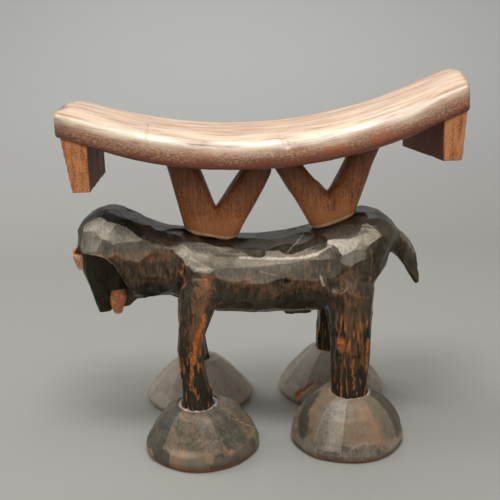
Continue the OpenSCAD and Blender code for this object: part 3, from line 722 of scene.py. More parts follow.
def blackened(colours, name, streak):
    """Hardwood scorched with a hot iron and burnished: olive black with a wax gloss, brown where hands
    have thinned the black, orange where it is gone, grey on scuffs and on the glints painted in as
    highlights, and near black where the black marks and the painted shade lie."""
    made, tree, shader = material(name)
    where = add(tree, "TexCoord").outputs["Object"]
    tone, ridge, wear, pale, dark = (
        add(tree, "Attribute", attribute_name=key).outputs["Fac"] for key in MARKS)
    # Upright hatching of the knife, about 1 mm wide and as tall as the streak says
    along = add(tree, "Mapping", {"Vector": where, "Scale": streak}).outputs[0]
    fibre = add(tree, "TexNoise", {"Vector": along, "Scale": 1.0, "Detail": 6.0,
                                   "Roughness": 0.72}).outputs["Fac"]
    # Clouds where the black is thinner, about 9 mm across
    cloud = add(tree, "TexNoise", {"Vector": where, "Scale": 110.0, "Detail": 4.0,
                                   "Roughness": 0.6}).outputs["Fac"]
    # Ticks that the knife's edge leaves, about 0.8 mm apart
    ticks = add(tree, "TexNoise", {"Vector": where, "Scale": 1300.0, "Detail": 2.0}).outputs["Fac"]
    # Olive black, with more soot brown where the cloud and the cut's own tone are high
    thin = add(tree, "MapRange", {"Value": cloud, "From Min": 0.4, "From Max": 0.64,
                                  "To Min": -0.95, "To Max": -0.5}).outputs[0]
    toned = add(tree, "Math", {0: tone, 1: 0.4, 2: thin}, operation="MULTIPLY_ADD").outputs[0]
    soot = add(tree, "Math", {0: fibre, 1: 1.9, 2: toned}, operation="MULTIPLY_ADD",
               use_clamp=True).outputs[0]
    colour = add(tree, "Mix", {0: soot, 6: colours.black, 7: colours.soot}, data_type="RGBA").outputs[2]
    # Near black where the black marks lie and where shade is painted
    deep = add(tree, "Math", {0: dark, 1: 0.85}, operation="MULTIPLY").outputs[0]
    colour = add(tree, "Mix", {0: deep, 6: colour, 7: linear("#14130f")}, data_type="RGBA").outputs[2]
    # Wear goes through brown to bare orange wood, first along the ridges and the high fibres
    rubbed = add(tree, "Math", {0: ridge, 1: 0.12, 2: wear}, operation="MULTIPLY_ADD").outputs[0]
    rubbed = add(tree, "Math", {0: fibre, 1: 1.2, 2: rubbed}, operation="MULTIPLY_ADD").outputs[0]
    brown = add(tree, "MapRange", {"Value": rubbed, "From Min": 0.74, "From Max": 1.15, "To Max": 0.9},
                interpolation_type="SMOOTHSTEP").outputs[0]
    colour = add(tree, "Mix", {0: brown, 6: colour, 7: colours.brown}, data_type="RGBA").outputs[2]
    flecked = add(tree, "MapRange", {"Value": ticks, "From Min": 0.35, "From Max": 0.6}).outputs[0]
    raw = add(tree, "Mix", {0: flecked, 6: linear("#8a4a24"), 7: colours.bare}, data_type="RGBA").outputs[2]
    bare = add(tree, "MapRange", {"Value": rubbed, "From Min": 1.2, "From Max": 1.42},
               interpolation_type="SMOOTHSTEP").outputs[0]
    colour = add(tree, "Mix", {0: bare, 6: colour, 7: raw}, data_type="RGBA").outputs[2]
    # Scuffs and painted highlights are grey and broken up by the fibres
    scuffed_and_glinting = add(tree, "Math", {0: ticks, 1: 0.7, 2: fibre}, operation="MULTIPLY_ADD").outputs[0]
    scuffed_and_glinting = add(tree, "MapRange", {"Value": scuffed_and_glinting, "From Min": 0.55, "From Max": 1.0,
                                     "To Min": 0.45, "To Max": 1.2}, clamp=False).outputs[0]
    scuffed_and_glinting = add(tree, "Math", {0: pale, 1: scuffed_and_glinting}, operation="MULTIPLY", use_clamp=True).outputs[0]
    colour = add(tree, "Mix", {0: scuffed_and_glinting, 6: colour, 7: colours.scuff_and_glint}, data_type="RGBA").outputs[2]
    tree.links.new(colour, shader.inputs["Base Color"])
    # Some facets are burnished more than others
    dull = add(tree, "Math", {0: tone, 1: 0.1, 2: 0.17}, operation="MULTIPLY_ADD").outputs[0]
    dull = add(tree, "Math", {0: wear, 1: 0.2, 2: dull}, operation="MULTIPLY_ADD").outputs[0]
    dull = add(tree, "Math", {0: pale, 1: -0.08, 2: dull}, operation="MULTIPLY_ADD").outputs[0]
    dull = add(tree, "Math", {0: fibre, 1: 0.22, 2: dull}, operation="MULTIPLY_ADD").outputs[0]
    tree.links.new(dull, shader.inputs["Roughness"])
    shader.inputs["Specular Tint"].default_value = linear("#fbe6c8")
    level = add(tree, "Math", {0: dark, 1: -0.42, 2: 0.5}, operation="MULTIPLY_ADD").outputs[0]
    tree.links.new(level, shader.inputs["Specular IOR Level"])
    relief = add(tree, "Math", {0: ticks, 1: 0.5, 2: fibre}, operation="MULTIPLY_ADD").outputs[0]
    bump = add(tree, "Bump", {"Height": relief, "Strength": 0.5, "Distance": 0.0003}).outputs[0]
    tree.links.new(bump, shader.inputs["Normal"])
    return made


def oiled(name, base, light, dark_end, edge, streak, gloss=(0.34, 0.5)):
    """Oiled hardwood with its grain showing, in the base colour: light where it is rubbed, dark_end in its
    grain and where it is dark, which on the struts and lugs is painted shade, and edge where it is palest.
    gloss is its least and greatest roughness."""
    made, tree, shader = material(name)
    where = add(tree, "TexCoord").outputs["Object"]
    tone, wear, pale, dark = (
        add(tree, "Attribute", attribute_name=key).outputs["Fac"]
        for key in ("tone", "wear", "pale", "dark"))
    # Fibres as wide and tall as the streak says
    along = add(tree, "Mapping", {"Vector": where, "Scale": streak}).outputs[0]
    fibre = add(tree, "TexNoise", {"Vector": along, "Scale": 1.0, "Detail": 6.0,
                                   "Roughness": 0.68}).outputs["Fac"]
    # Pores and ticks about 0.8 mm apart
    pores = add(tree, "TexNoise", {"Vector": where, "Scale": 1200.0, "Detail": 2.0}).outputs["Fac"]
    mottled = add(tree, "Math", {0: pores, 1: 0.6, 2: fibre}, operation="MULTIPLY_ADD").outputs[0]
    streaked = add(tree, "MapRange", {"Value": mottled, "From Min": 0.62, "From Max": 0.86}).outputs[0]
    shade = add(tree, "Mix", {0: 0.6, 6: base, 7: dark_end}, data_type="RGBA").outputs[2]
    colour = add(tree, "Mix", {0: streaked, 6: shade, 7: base}, data_type="RGBA").outputs[2]
    toned = add(tree, "Math", {0: tone, 1: 0.25, 2: wear}, operation="MULTIPLY_ADD").outputs[0]
    rubbed = add(tree, "Math", {0: mottled, 1: toned}, operation="ADD").outputs[0]
    rubbed = add(tree, "MapRange", {"Value": rubbed, "From Min": 0.85, "From Max": 1.4},
                 interpolation_type="SMOOTHSTEP").outputs[0]
    colour = add(tree, "Mix", {0: rubbed, 6: colour, 7: light}, data_type="RGBA").outputs[2]
    deep = add(tree, "Math", {0: pores, 1: 0.5, 2: 0.75}, operation="MULTIPLY_ADD").outputs[0]
    deep = add(tree, "Math", {0: deep, 1: dark}, operation="MULTIPLY", use_clamp=True).outputs[0]
    colour = add(tree, "Mix", {0: deep, 6: colour, 7: dark_end}, data_type="RGBA").outputs[2]
    worn = add(tree, "Math", {0: fibre, 1: pale}, operation="ADD").outputs[0]
    worn = add(tree, "MapRange", {"Value": worn, "From Min": 0.75, "From Max": 1.1}).outputs[0]
    colour = add(tree, "Mix", {0: worn, 6: colour, 7: edge}, data_type="RGBA").outputs[2]
    tree.links.new(colour, shader.inputs["Base Color"])
    dull = add(tree, "MapRange", {"Value": fibre, "From Min": 0.3, "From Max": 0.7,
                                  "To Min": gloss[0], "To Max": gloss[1]}).outputs[0]
    tree.links.new(dull, shader.inputs["Roughness"])
    shader.inputs["Specular IOR Level"].default_value = 0.3
    bump = add(tree, "Bump", {"Height": mottled, "Strength": 0.45, "Distance": 0.00025}).outputs[0]
    tree.links.new(bump, shader.inputs["Normal"])
    return made


def dusty(colours, name):
    """Hardwood that stands on the ground: each facet rubbed to its own grey, some to pinkish brown, with
    its grain dusty, pale round the ankle and bare orange along the floor; the far feet are paler, partly
    dusty and partly painted light, and the top of one near foot and the seat round each ankle are darker
    with painted shade."""
    made, tree, shader = material(name)
    where = add(tree, "TexCoord").outputs["Object"]
    tone, ridge, wear, pale, dark, pink = (
        add(tree, "Attribute", attribute_name=key).outputs["Fac"] for key in (*MARKS, "pink"))
    # Stains about 5 mm across, and scratches about 0.9 mm wide and 4 mm tall
    cloud = add(tree, "TexNoise", {"Vector": where, "Scale": 190.0, "Detail": 6.0,
                                   "Roughness": 0.7}).outputs["Fac"]
    along = add(tree, "Mapping", {"Vector": where, "Scale": (1100, 1100, 260)}).outputs[0]
    grain = add(tree, "TexNoise", {"Vector": along, "Scale": 1.0, "Detail": 5.0,
                                   "Roughness": 0.72}).outputs["Fac"]
    # Each facet has its own grey, by its tone
    mixed = add(tree, "Math", {0: grain, 1: 0.9, 2: cloud}, operation="MULTIPLY_ADD").outputs[0]
    shade = add(tree, "Math", {0: tone, 1: 0.85, 2: mixed}, operation="MULTIPLY_ADD").outputs[0]
    shade = add(tree, "MapRange", {"Value": shade, "From Min": 0.95, "From Max": 1.65}).outputs[0]
    colour = add(tree, "Mix", {0: shade, 6: linear("#4c4436"), 7: colours.foot_grey},
                 data_type="RGBA").outputs[2]
    # Rubbed to pinkish brown, to black and painted shade, to dusty pale and painted light, and bare, each
    # broken up by the grain
    warm = add(tree, "Math", {0: mixed, 1: 0.7, 2: pink}, operation="MULTIPLY_ADD").outputs[0]
    warm = add(tree, "MapRange", {"Value": warm, "From Min": 0.78, "From Max": 1.15,
                                  "To Max": 0.85}).outputs[0]
    colour = add(tree, "Mix", {0: warm, 6: colour, 7: colours.foot_pink}, data_type="RGBA").outputs[2]
    deep = add(tree, "Math", {0: mixed, 1: -0.8, 2: 0.8}, operation="MULTIPLY_ADD").outputs[0]
    deep = add(tree, "Math", {0: dark, 1: deep}, operation="ADD").outputs[0]
    deep = add(tree, "MapRange", {"Value": deep, "From Min": 0.25, "From Max": 0.6,
                                  "To Max": 0.9}).outputs[0]
    colour = add(tree, "Mix", {0: deep, 6: colour, 7: linear("#434138")}, data_type="RGBA").outputs[2]
    worn = add(tree, "Math", {0: mixed, 1: 0.6, 2: pale}, operation="MULTIPLY_ADD").outputs[0]
    worn = add(tree, "Math", {0: ridge, 1: 0.14, 2: worn}, operation="MULTIPLY_ADD").outputs[0]
    worn = add(tree, "MapRange", {"Value": worn, "From Min": 0.75, "From Max": 1.35}).outputs[0]
    colour = add(tree, "Mix", {0: worn, 6: colour, 7: linear("#b5a898")}, data_type="RGBA").outputs[2]
    bare = add(tree, "Math", {0: grain, 1: wear}, operation="ADD").outputs[0]
    bare = add(tree, "MapRange", {"Value": bare, "From Min": 0.85, "From Max": 1.1}).outputs[0]
    colour = add(tree, "Mix", {0: bare, 6: colour, 7: linear("#b8683a")}, data_type="RGBA").outputs[2]
    tree.links.new(colour, shader.inputs["Base Color"])
    dull = add(tree, "MapRange", {"Value": cloud, "From Min": 0.3, "From Max": 0.7,
                                  "To Min": 0.36, "To Max": 0.56}).outputs[0]
    tree.links.new(dull, shader.inputs["Roughness"])
    bump = add(tree, "Bump", {"Height": mixed, "Strength": 0.5, "Distance": 0.0004}).outputs[0]
    tree.links.new(bump, shader.inputs["Normal"])
    return made


def polished(colours, name):
    """Pale hardwood polished by the neck: cream and brown streaks with a soft gloss on top, paler towards
    the top partly as painted light, a painted highlight in streaks along the rounded upper edges, pinkish
    brown with knife ticks on the faces, and dark red along the lower edge, partly painted shade."""
    made, tree, shader = material(name)
    lie = add(tree, "Attribute", attribute_name="lie").outputs["Vector"]
    wear, pale, dark, low, painted_sheen, yellow = (
        add(tree, "Attribute", attribute_name=key).outputs["Fac"]
        for key in ("wear", "pale", "dark", "low", "painted_sheen", "yellow"))
    # Grain lines about 1.5 mm apart and 25 mm long, and streaks about 5 mm wide and 30 mm long
    fine = add(tree, "Mapping", {"Vector": lie, "Scale": (40, 650, 800)}).outputs[0]
    grain = add(tree, "TexNoise", {"Vector": fine, "Scale": 1.0, "Detail": 8.0, "Roughness": 0.8,
                                   "Distortion": 0.5}).outputs["Fac"]
    broad = add(tree, "Mapping", {"Vector": lie, "Scale": (32, 200, 160)}).outputs[0]
    band = add(tree, "TexNoise", {"Vector": broad, "Scale": 1.0, "Detail": 3.0,
                                  "Roughness": 0.6}).outputs["Fac"]
    # Ticks of the knife, about 1 mm apart
    small = add(tree, "Mapping", {"Vector": lie, "Scale": (700, 1000, 1300)}).outputs[0]
    ticks = add(tree, "TexNoise", {"Vector": small, "Scale": 1.0, "Detail": 3.0,
                                   "Roughness": 0.7}).outputs["Fac"]
    # The top shows the streaks and the faces show the ticks
    streaks = add(tree, "Math", {0: band, 1: 1.1, 2: grain}, operation="MULTIPLY_ADD").outputs[0]
    faced = add(tree, "Math", {0: ticks, 1: 1.6, 2: 0.14}, operation="MULTIPLY_ADD").outputs[0]
    mottled = add(tree, "Mix", {0: pale, 2: faced, 3: streaks}).outputs[0]
    light = add(tree, "Math", {0: pale, 1: 0.1, 2: mottled}, operation="MULTIPLY_ADD").outputs[0]
    light = add(tree, "MapRange", {"Value": light, "From Min": 0.84, "From Max": 1.3}).outputs[0]
    colour = add(tree, "Mix", {0: light, 6: colours.pillow_brown, 7: colours.pillow_pale},
                 data_type="RGBA").outputs[2]
    rubbed = add(tree, "Math", {0: ticks, 1: wear}, operation="ADD").outputs[0]
    rubbed = add(tree, "MapRange", {"Value": rubbed, "From Min": 0.8, "From Max": 1.3,
                                    "To Max": 0.85}).outputs[0]
    colour = add(tree, "Mix", {0: rubbed, 6: colour, 7: linear("#c87443")}, data_type="RGBA").outputs[2]
    red = add(tree, "Math", {0: ticks, 1: -0.9, 2: low}, operation="MULTIPLY_ADD").outputs[0]
    red = add(tree, "MapRange", {"Value": red, "From Min": -0.3, "From Max": 0.4}).outputs[0]
    colour = add(tree, "Mix", {0: red, 6: colour, 7: colours.pillow_red}, data_type="RGBA").outputs[2]
    colour = add(tree, "Mix", {0: dark, 6: colour, 7: linear("#5a3126")}, data_type="RGBA").outputs[2]
    # Painted highlight: the rounded edges are painted palest, in streaks
    painted_highlight = add(tree, "MapRange", {"Value": streaks, "From Min": 0.8, "From Max": 1.15}).outputs[0]
    painted_highlight = add(tree, "Math", {0: painted_highlight, 1: painted_sheen}, operation="MULTIPLY", use_clamp=True).outputs[0]
    colour = add(tree, "Mix", {0: painted_highlight, 6: colour, 7: linear("#fbeed8")}, data_type="RGBA").outputs[2]
    colour = add(tree, "Mix", {0: yellow, 6: colour, 7: linear("#d9a35f")}, data_type="RGBA").outputs[2]
    tree.links.new(colour, shader.inputs["Base Color"])
    dull = add(tree, "MapRange", {"Value": mottled, "From Min": 0.8, "From Max": 1.3,
                                  "To Min": 0.42, "To Max": 0.26}).outputs[0]
    tree.links.new(dull, shader.inputs["Roughness"])
    shader.inputs["Coat Weight"].default_value = 0.3
    shader.inputs["Coat Roughness"].default_value = 0.25
    bump = add(tree, "Bump", {"Height": mottled, "Strength": 0.5, "Distance": 0.0003}).outputs[0]
    tree.links.new(bump, shader.inputs["Normal"])
    return made


# The pieces

def blank(node, cell, rounds):
    """One CAD node as a blank to carve, in cells of this many millimetres, evened over some rounds."""
    return Wood(block(node + "_blank", node), cell, rounds)


def whittle(wood, spacing, depth, tilt, limit, rng, grain=UPRIGHT, long=1.6):
    """Covers a whole piece with cuts of one kind and carves it. Lengths are in millimetres, tilt in
    degrees."""
    cuts = Cuts()
    cuts.over(wood, np.ones(len(wood.points), bool), spacing, depth, tilt, rng, grain, long)
    carve(wood, cuts, limit)


def body_cuts(wood, sizes):
    """Long cuts down the legs, shorter ones on the rest, and the broad facets on both sides."""
    rng = np.random.default_rng(11)
    depth = sizes.cut_depth / MM
    x, _, z = wood.start.T
    legs = z < LEGS_BELOW
    head = (x < HEAD_BEFORE) & ~legs
    tail = (x > TAIL_BEHIND) & ~legs
    trunk = ~(legs | head | tail)
    cuts = Cuts()
    cuts.over(wood, legs, sizes.leg_cut / MM, depth, 3, rng, UPRIGHT, 2.6)
    cuts.over(wood, head, sizes.head_cut / MM, 1.25 * depth, 4, rng)
    cuts.over(wood, trunk, sizes.trunk_cut / MM, depth, 4, rng, ALONG, 1.35)
    cuts.over(wood, tail, TAIL_CUT, depth, 3, rng, UPRIGHT, 1.6)
    for side in (1, -1):
        mirror = np.array((1, side, 1))
        for place, facing, reach, long in BODY_FACETS:
            cuts.add(mirror * place, unit(mirror * facing), FACET_DEPTH, reach, ALONG, long)
    return cuts


def mark_body(wood, stand):
    """Wear on what stands out, in streaks down the legs, and where the photograph shows it, then the
    burnished facets and painted highlights, the scratches, and what stays black and the painted shade."""
    x, _, z = wood.start.T
    wood.mark("wear", np.clip((stand - 0.5) / 2.6, 0, 0.5))
    # The streaks are about 1 mm wide and 7 mm tall
    streaks = lumps(wood.start * (1, 1, 0.16), 1.1, 5)
    low_down = smooth_step(-z, -84, -56) * np.maximum(
        smooth_step(-np.abs(x - FORELEG_X), -14, -9), smooth_step(-np.abs(x - HIND_LEG_X), -15, -10))
    wood.mark("wear", low_down * 0.85 * smooth_step(streaks, 0.12, 0.5))
    wood.mark("wear", 0.85 * wood.drawn(BODY_BARE, True, 0.8))
    wood.mark("wear", 0.75 * wood.drawn(BODY_BROWN, True, 2.0))
    # A pale patch, burnished wood and painted highlight alike, fills the cuts that it touches, each by its
    # own tone
    patches = wood.drawn(BODY_PALE_AND_GLINTS, True, 0.5)
    burnished = 0.65 + 0.7 * wood.marks["tone"]
    wood.mark("pale", 0.85 * burnished * wood.by_cut(patches) + 0.15 * patches)
    # Scratches, and highlights painted along the brow's rim and the flank's ridge
    wood.mark("pale", wood.drawn(BODY_SCRATCHES_AND_GLINTS, True, 0.7))
    # Black places, and painted shade under the head, on the belly and in the creases
    wood.mark("dark", wood.drawn(BODY_BLACK_AND_SHADE, True, 1.4))
    wood.marks["wear"] *= 1 - 0.8 * wood.marks["dark"]
    # The legs are darker than the trunk
    wood.mark("dark", 0.55 * smooth_step(-z, -66, -48))


class HEADREST_OT_body(bpy.types.Operator):
    """Carve the animal's body, head, tail and legs with flat knife cuts"""
    bl_idname = "headrest.body"
    bl_label = "Carve Body"

    def execute(self, context):
        sizes = context.scene.headrest_sizes
        cell = sizes.cell / MM
        wood = Wood(block("body", *BODY_NODES), cell, int(BODY_EVENING / cell ** 2))
        wood.swell(0.35)
        cuts = body_cuts(wood, sizes)
        # The haunch runs straight down into the back of the leg: filled 73 mm over the floor, and pared
        # 88 mm over it
        x, y, z = wood.start.T
        behind = smooth_step(wood.normals(6)[:, 0], 0.1, 0.6) * smooth_step(np.abs(y), 8, 15) * (x > 38)
        wood.points[:, 0] += behind * (1.2 * hump(z, 73, 6) - 2.0 * hump(z, 88, 6))
        stand = wood.convexity(WORN_REACH)
        carve(wood, cuts, 1.6)
        wood.crease(BODY_CREASES, True)
        mark_body(wood, stand)
        for node, piece in parted(wood, BODY_NODES).items():
            streak = LEG_STREAK if "leg" in node else BODY_STREAK
            made = blackened(context.scene.headrest_colours, "hardwood_scorched_" + node, streak)
            settle(piece, "blackened_wood", made, node)
        return {"FINISHED"}


class HEADREST_OT_face(bpy.types.Operator):
    """Carve the muzzle, the jaw and the knob on the brow"""
    bl_idname = "headrest.face"
    bl_label = "Carve Face"

    def execute(self, context):
        rng = np.random.default_rng(23)
        black = blackened(context.scene.headrest_colours, "hardwood_scorched_face", FACE_STREAK)
        worn = oiled("hardwood_rubbed_bare", linear("#dc8a58"), linear("#f0b48c"), linear("#864a30"),
                     linear("#eab892"), RUBBED_FIBRE)
        # How far apart the cuts are on each piece, and how far it is swelled before them
        for node, spacing, swell, made, slot in (
                ("muzzle", 9, 0.4, black, "blackened_wood"),
                ("lower_jaw", 4, 0.7, worn, "worn_wood"),
                ("brow_knob", 4, 0.7, worn, "worn_wood")):
            wood = blank(node, SMALL_CELL, 5)
            wood.swell(swell)
            if node == "muzzle":
                # The mouth is a slit: the snout reaches back to the jaw
                back = smooth_step(wood.normals(6)[:, 0], 0.3, 0.8)
                wood.points[:, 0] += MOUTH_FILL * back * smooth_step(-wood.start[:, 2], -76, -73)
            if node == "brow_knob":
                # The knob is broad on the near side, and worn down above 90.5 mm
                wood.points[:, 1] = 1.25 * wood.points[:, 1] - 2.6
                wood.points[:, 2] -= 0.6 * np.maximum(wood.points[:, 2] - 90.5, 0)
            stand = wood.convexity(SMALL_WORN_REACH)
            whittle(wood, spacing, 0.35, 3, 0.6, rng)
            wood.mark("wear", np.clip((stand - 0.3) / 2, 0, 0.4))
            if node == "muzzle":
                wood.mark("dark", 0.7)
            else:
                wood.mark("pale", np.clip((stand - 0.35) / 0.8, 0, 0.5))
                wood.mark("dark", 0.5 * smooth_step(lumps(wood.start, 3, 4), 0.2, 0.7))
            settle(finished(wood, "carved_" + node), slot, made, node)
        return {"FINISHED"}


class HEADREST_OT_sheath(bpy.types.Operator):
    """Carve the sheath under the belly"""
    bl_idname = "headrest.sheath"
    bl_label = "Carve Sheath"

    def execute(self, context):
        wood = blank("sheath", SMALL_CELL, 5)
        wood.swell(0.3)
        stand = wood.convexity(SMALL_WORN_REACH)
        whittle(wood, 6, 0.3, 3, 0.6, np.random.default_rng(29), ALONG, 1.4)
        wood.mark("wear", np.clip((stand - 0.2) / 1.6, 0, 0.6))
        made = blackened(context.scene.headrest_colours, "hardwood_scorched_sheath", BODY_STREAK)
        settle(finished(wood, "carved_sheath"), "blackened_wood", made, "sheath")
        return {"FINISHED"}


def facet_foot(wood, level, middle, ankle, count, slim, rng):
    """Long flat cuts that run down from the ankle, and a second row of them that runs round the rim."""
    axis = middle[:2] + level[:, None] * (ankle[:2] - middle[:2])
    spoke = wood.points[:, :2] - axis
    reach = np.linalg.norm(spoke, axis=1)
    angle = np.arctan2(spoke[:, 1], spoke[:, 0]) % (2 * math.pi)
    # The outline of the sole is made round first
    grown = smooth_step(-level, -0.5, -0.1) * rounding(angle, reach, level < 0.2)
    wood.points[:, :2] += grown[:, None] * spoke
    upper, lower = (facets(angle, n, rng) for n in (count, count + 3))
    # The two rows meet at a fifth to a third of the height, and the facets fade towards the floor
    meet = 0.2 + 0.16 * upper["chance"] + 0.02 * lumps(wood.start, 3, 6)
    share = smooth_step(level, meet - 0.05, meet + 0.05)
    rounder = 0.15 + 0.85 * smooth_step(level, 0.08, 0.45)
    sunk = rounder * (share * upper["sunk"] + (1 - share) * lower["sunk"]) + slim * hump(level, 0.62, 0.2)
    wood.points[:, :2] -= (sunk + 0.008 * lumps(wood.start, 5, 8))[:, None] * spoke
    chosen = share > 0.5
    wood.marks["tone"] = np.where(chosen, upper["chance"], lower["chance"])
    wood.cut_of = np.where(chosen, upper["index"], lower["index"] + count)
    wood.marks["ridge"] = hump(np.where(chosen, upper["edge"], lower["edge"]) * reach, 0, 0.4)


def collar_foot(wood, top, from_ankle, thick, height):
    """Leaves a ragged lip of wood standing round the ankle and keeps the leg's seat and the sole flat.
    Gives how much of the lip, and of the middle of the seat, is at each point."""
    z = wood.start[:, 2]
    lip = hump(from_ankle - thick, 1.1, 0.9) * (z > top - 5)
    seat = (z > top - 4) & (from_ankle < 10)
    wood.points[seat] = wood.start[seat]
    wood.points[:, 2] += height * lip * np.clip(0.55 + 0.9 * lumps(wood.start, 2.6, 7), 0, 1.4)
    wood.points[z < 0.4, 2] = 0
    return lip, smooth_step(-from_ankle, -8.9, -7.6) * seat


def mark_foot(wood, level, stand, lip, seat, dust_and_painted_light, painted_shade_above, pale_below):
    """Bare wood along the floor, a pale lip, dusty pale and painted light on the far feet, painted shade,
    and the marks that the photograph shows.
    """
    rim = smooth_step(-wood.start[:, 2], -2.6, -0.5) * (0.75 + 0.5 * lumps(wood.start, 9, 2))
    wood.mark("wear", np.maximum(np.clip((stand - 0.8) / 3, 0, 0.3), rim))
    wood.mark("wear", wood.drawn(FEET_BARE))
    # A pale patch fills the cuts that it touches
    patches = wood.drawn(FEET_PALE)
    wood.mark("pale", 0.35 * patches + np.clip(1.6 * wood.by_cut(patches), 0, 0.4))
    wood.mark("pale", 0.9 * lip * np.clip(0.7 + 0.9 * lumps(wood.start, 1.5, 9), 0.1, 1))
    wood.mark("pale", wood.drawn(FEET_SCRATCHES))
    # Dust and painted light lie even on the far feet. Of the near ones, one has painted shade above and one
    # is rubbed pale below
    wood.mark("pale", np.maximum(dust_and_painted_light, pale_below * smooth_step(-level, -0.5, -0.15)))
    wood.mark("dark", painted_shade_above * smooth_step(level, 0.2, 0.45))
    # The black marks, and painted shade on the seat round the ankle
    wood.mark("dark", np.maximum(wood.drawn(FEET_BLACK), 0.75 * seat))
    wood.marks["pink"] = 0.75 * wood.drawn(FEET_PINK, False, 0.6)
    wood.mark("pink", 0.25 * (wood.marks["tone"] > 0.8))


class HEADREST_OT_feet(bpy.types.Operator):
    """Carve the four bell feet with long cuts that run down from the ankle"""
    bl_idname = "headrest.feet"
    bl_label = "Carve Feet"

    def execute(self, context):
        sizes = context.scene.headrest_sizes
        rng = np.random.default_rng(31)
        made = dusty(context.scene.headrest_colours, "hardwood_dusty_feet")
        for node, (leg, dust_and_painted_light, painted_shade_above, pale_below, slim) in FEET.items():
            low, high = (np.array(c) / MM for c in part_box(node))
            top = high[2]
            # The ankle is the middle of the leg's lowest points, and thick is half of its width there
            shaft = np.array([v.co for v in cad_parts[leg].data.vertices]) / MM
            ankle = shaft[shaft[:, 2] < shaft[:, 2].min() + 1.5].mean(0)
            thick = 0.5 * np.ptp(shaft[shaft[:, 2] < top + 3, 0])
            wood = blank(node, sizes.cell / MM, 8)
            wood.swell(0.45)
            level = np.clip(wood.start[:, 2] / top, 0, 1)
            from_ankle = np.linalg.norm(wood.start[:, :2] - ankle[:2], axis=1)
            facet_foot(wood, level, (low + high) / 2, ankle, sizes.foot_cuts, slim, rng)
            stand = wood.convexity(WORN_REACH)
            wood.crease(FEET_CREASES)
            lip, seat = collar_foot(wood, top, from_ankle, thick, sizes.collar / MM)
            mark_foot(wood, level, stand, lip, seat, dust_and_painted_light, painted_shade_above, pale_below)
            settle(finished(wood, "carved_" + node), "foot_wood", made, node)
        return {"FINISHED"}


class HEADREST_OT_struts(bpy.types.Operator):
    """Carve the two V struts, with their arms rounded and cut along the grain"""
    bl_idname = "headrest.struts"
    bl_label = "Carve Struts"

    def execute(self, context):
        # Each strut is pale over the back, worn at its foot, and darkened with painted shade under the
        # pillow and in the crease
        rng = np.random.default_rng(43)
        made = oiled("hardwood_oiled_struts", context.scene.headrest_colours.strut, linear("#cf8450"),
                     linear("#402619"), linear("#ffcfa4"), STRUT_FIBRE, (0.36, 0.52))
        for node, (x, z) in NOTCHES.items():
            wood = blank(node, 0.55, 26)
            wood.swell(0.6)
            # Evened until the arms are round
            for _ in range(34):
                wood.points = wood.spread(wood.points, 0.5)
            whittle(wood, 6.5, 0.22, 2, 0.6, rng, UPRIGHT, 2.6)
            # Below the notch the two arms part along a soft crease
            line = [(0.9, 1.3, (x, y, z), (x, y, z - CREASE_LENGTH)) for y in (-CREASE_SIDE, CREASE_SIDE)]
            wood.crease(line)
            up = wood.start[:, 2]
            foot = up.min()
            wood.mark("pale", 1.5 * smooth_step(-away_from(wood.start, "torso"), -2.4, -1.0))
            wood.mark("wear", 0.5 * smooth_step(-up, -foot - 20, -foot - 4))
            # Painted shadow of the pillow, and painted shade in the crease
            shaded = 0.7 * smooth_step(-away_from(wood.start, "pillow"), -22, -2)
            wood.mark("dark", np.maximum(shaded, 0.45 * wood.drawn(line)))
            settle(finished(wood, "carved_" + node), "reddish_wood", made, node)
        return {"FINISHED"}


def mark_pillow(wood, out, drop):
    """Polish down from the top and painted light fading down the near face, a red lower edge partly painted
    shade, a painted highlight along the rounded edges, and the marks that the photograph shows.
    """
    x, y, _ = wood.start.T
    wander = lumps(wood.start, 12, 1)
    # The grain follows the curve of the top: along, across, and down from the top
    wood.marks["lie"] = np.stack([x, y, drop], axis=1) * MM
    # Pale from the top to 4.5 to 11 mm below it: the neck's polish, and painted light fading down the near
    # face
    wood.mark("pale", smooth_step(drop + 1.2 * wander, -11, -4.5))
    # Dark red towards the lower edge and on the faces that look down: the wood's own red, and painted shade
    edge = 0.55 * smooth_step(-out[:, 2], -0.35, 0.3) * (drop < -6)
    wood.marks["low"] = np.maximum(edge, smooth_step(-drop + 1.2 * wander, 8, 15))
    wood.mark("wear", wood.drawn(PILLOW_ORANGE, False, 1.6))
    wood.mark("wear", 0.5 * smooth_step(lumps(wood.start, 16, 6), 0.25, 0.6) * (out[:, 2] < 0.4))
    wood.mark("dark", wood.drawn(PILLOW_DARK, False, 0.4))
    wood.marks["yellow"] = wood.drawn(PILLOW_YELLOW, False, 0.4)
    # Painted highlight in a band about 4 mm below the top, on the rounded edges, weaker towards the ends
    ends = 0.35 + 0.65 * smooth_step(-np.abs(x), -88, -55)
    wood.marks["painted_sheen"] = ends * hump(drop + 4.2 + 0.6 * wander, 0, 2.8) * (np.abs(y) > 12)


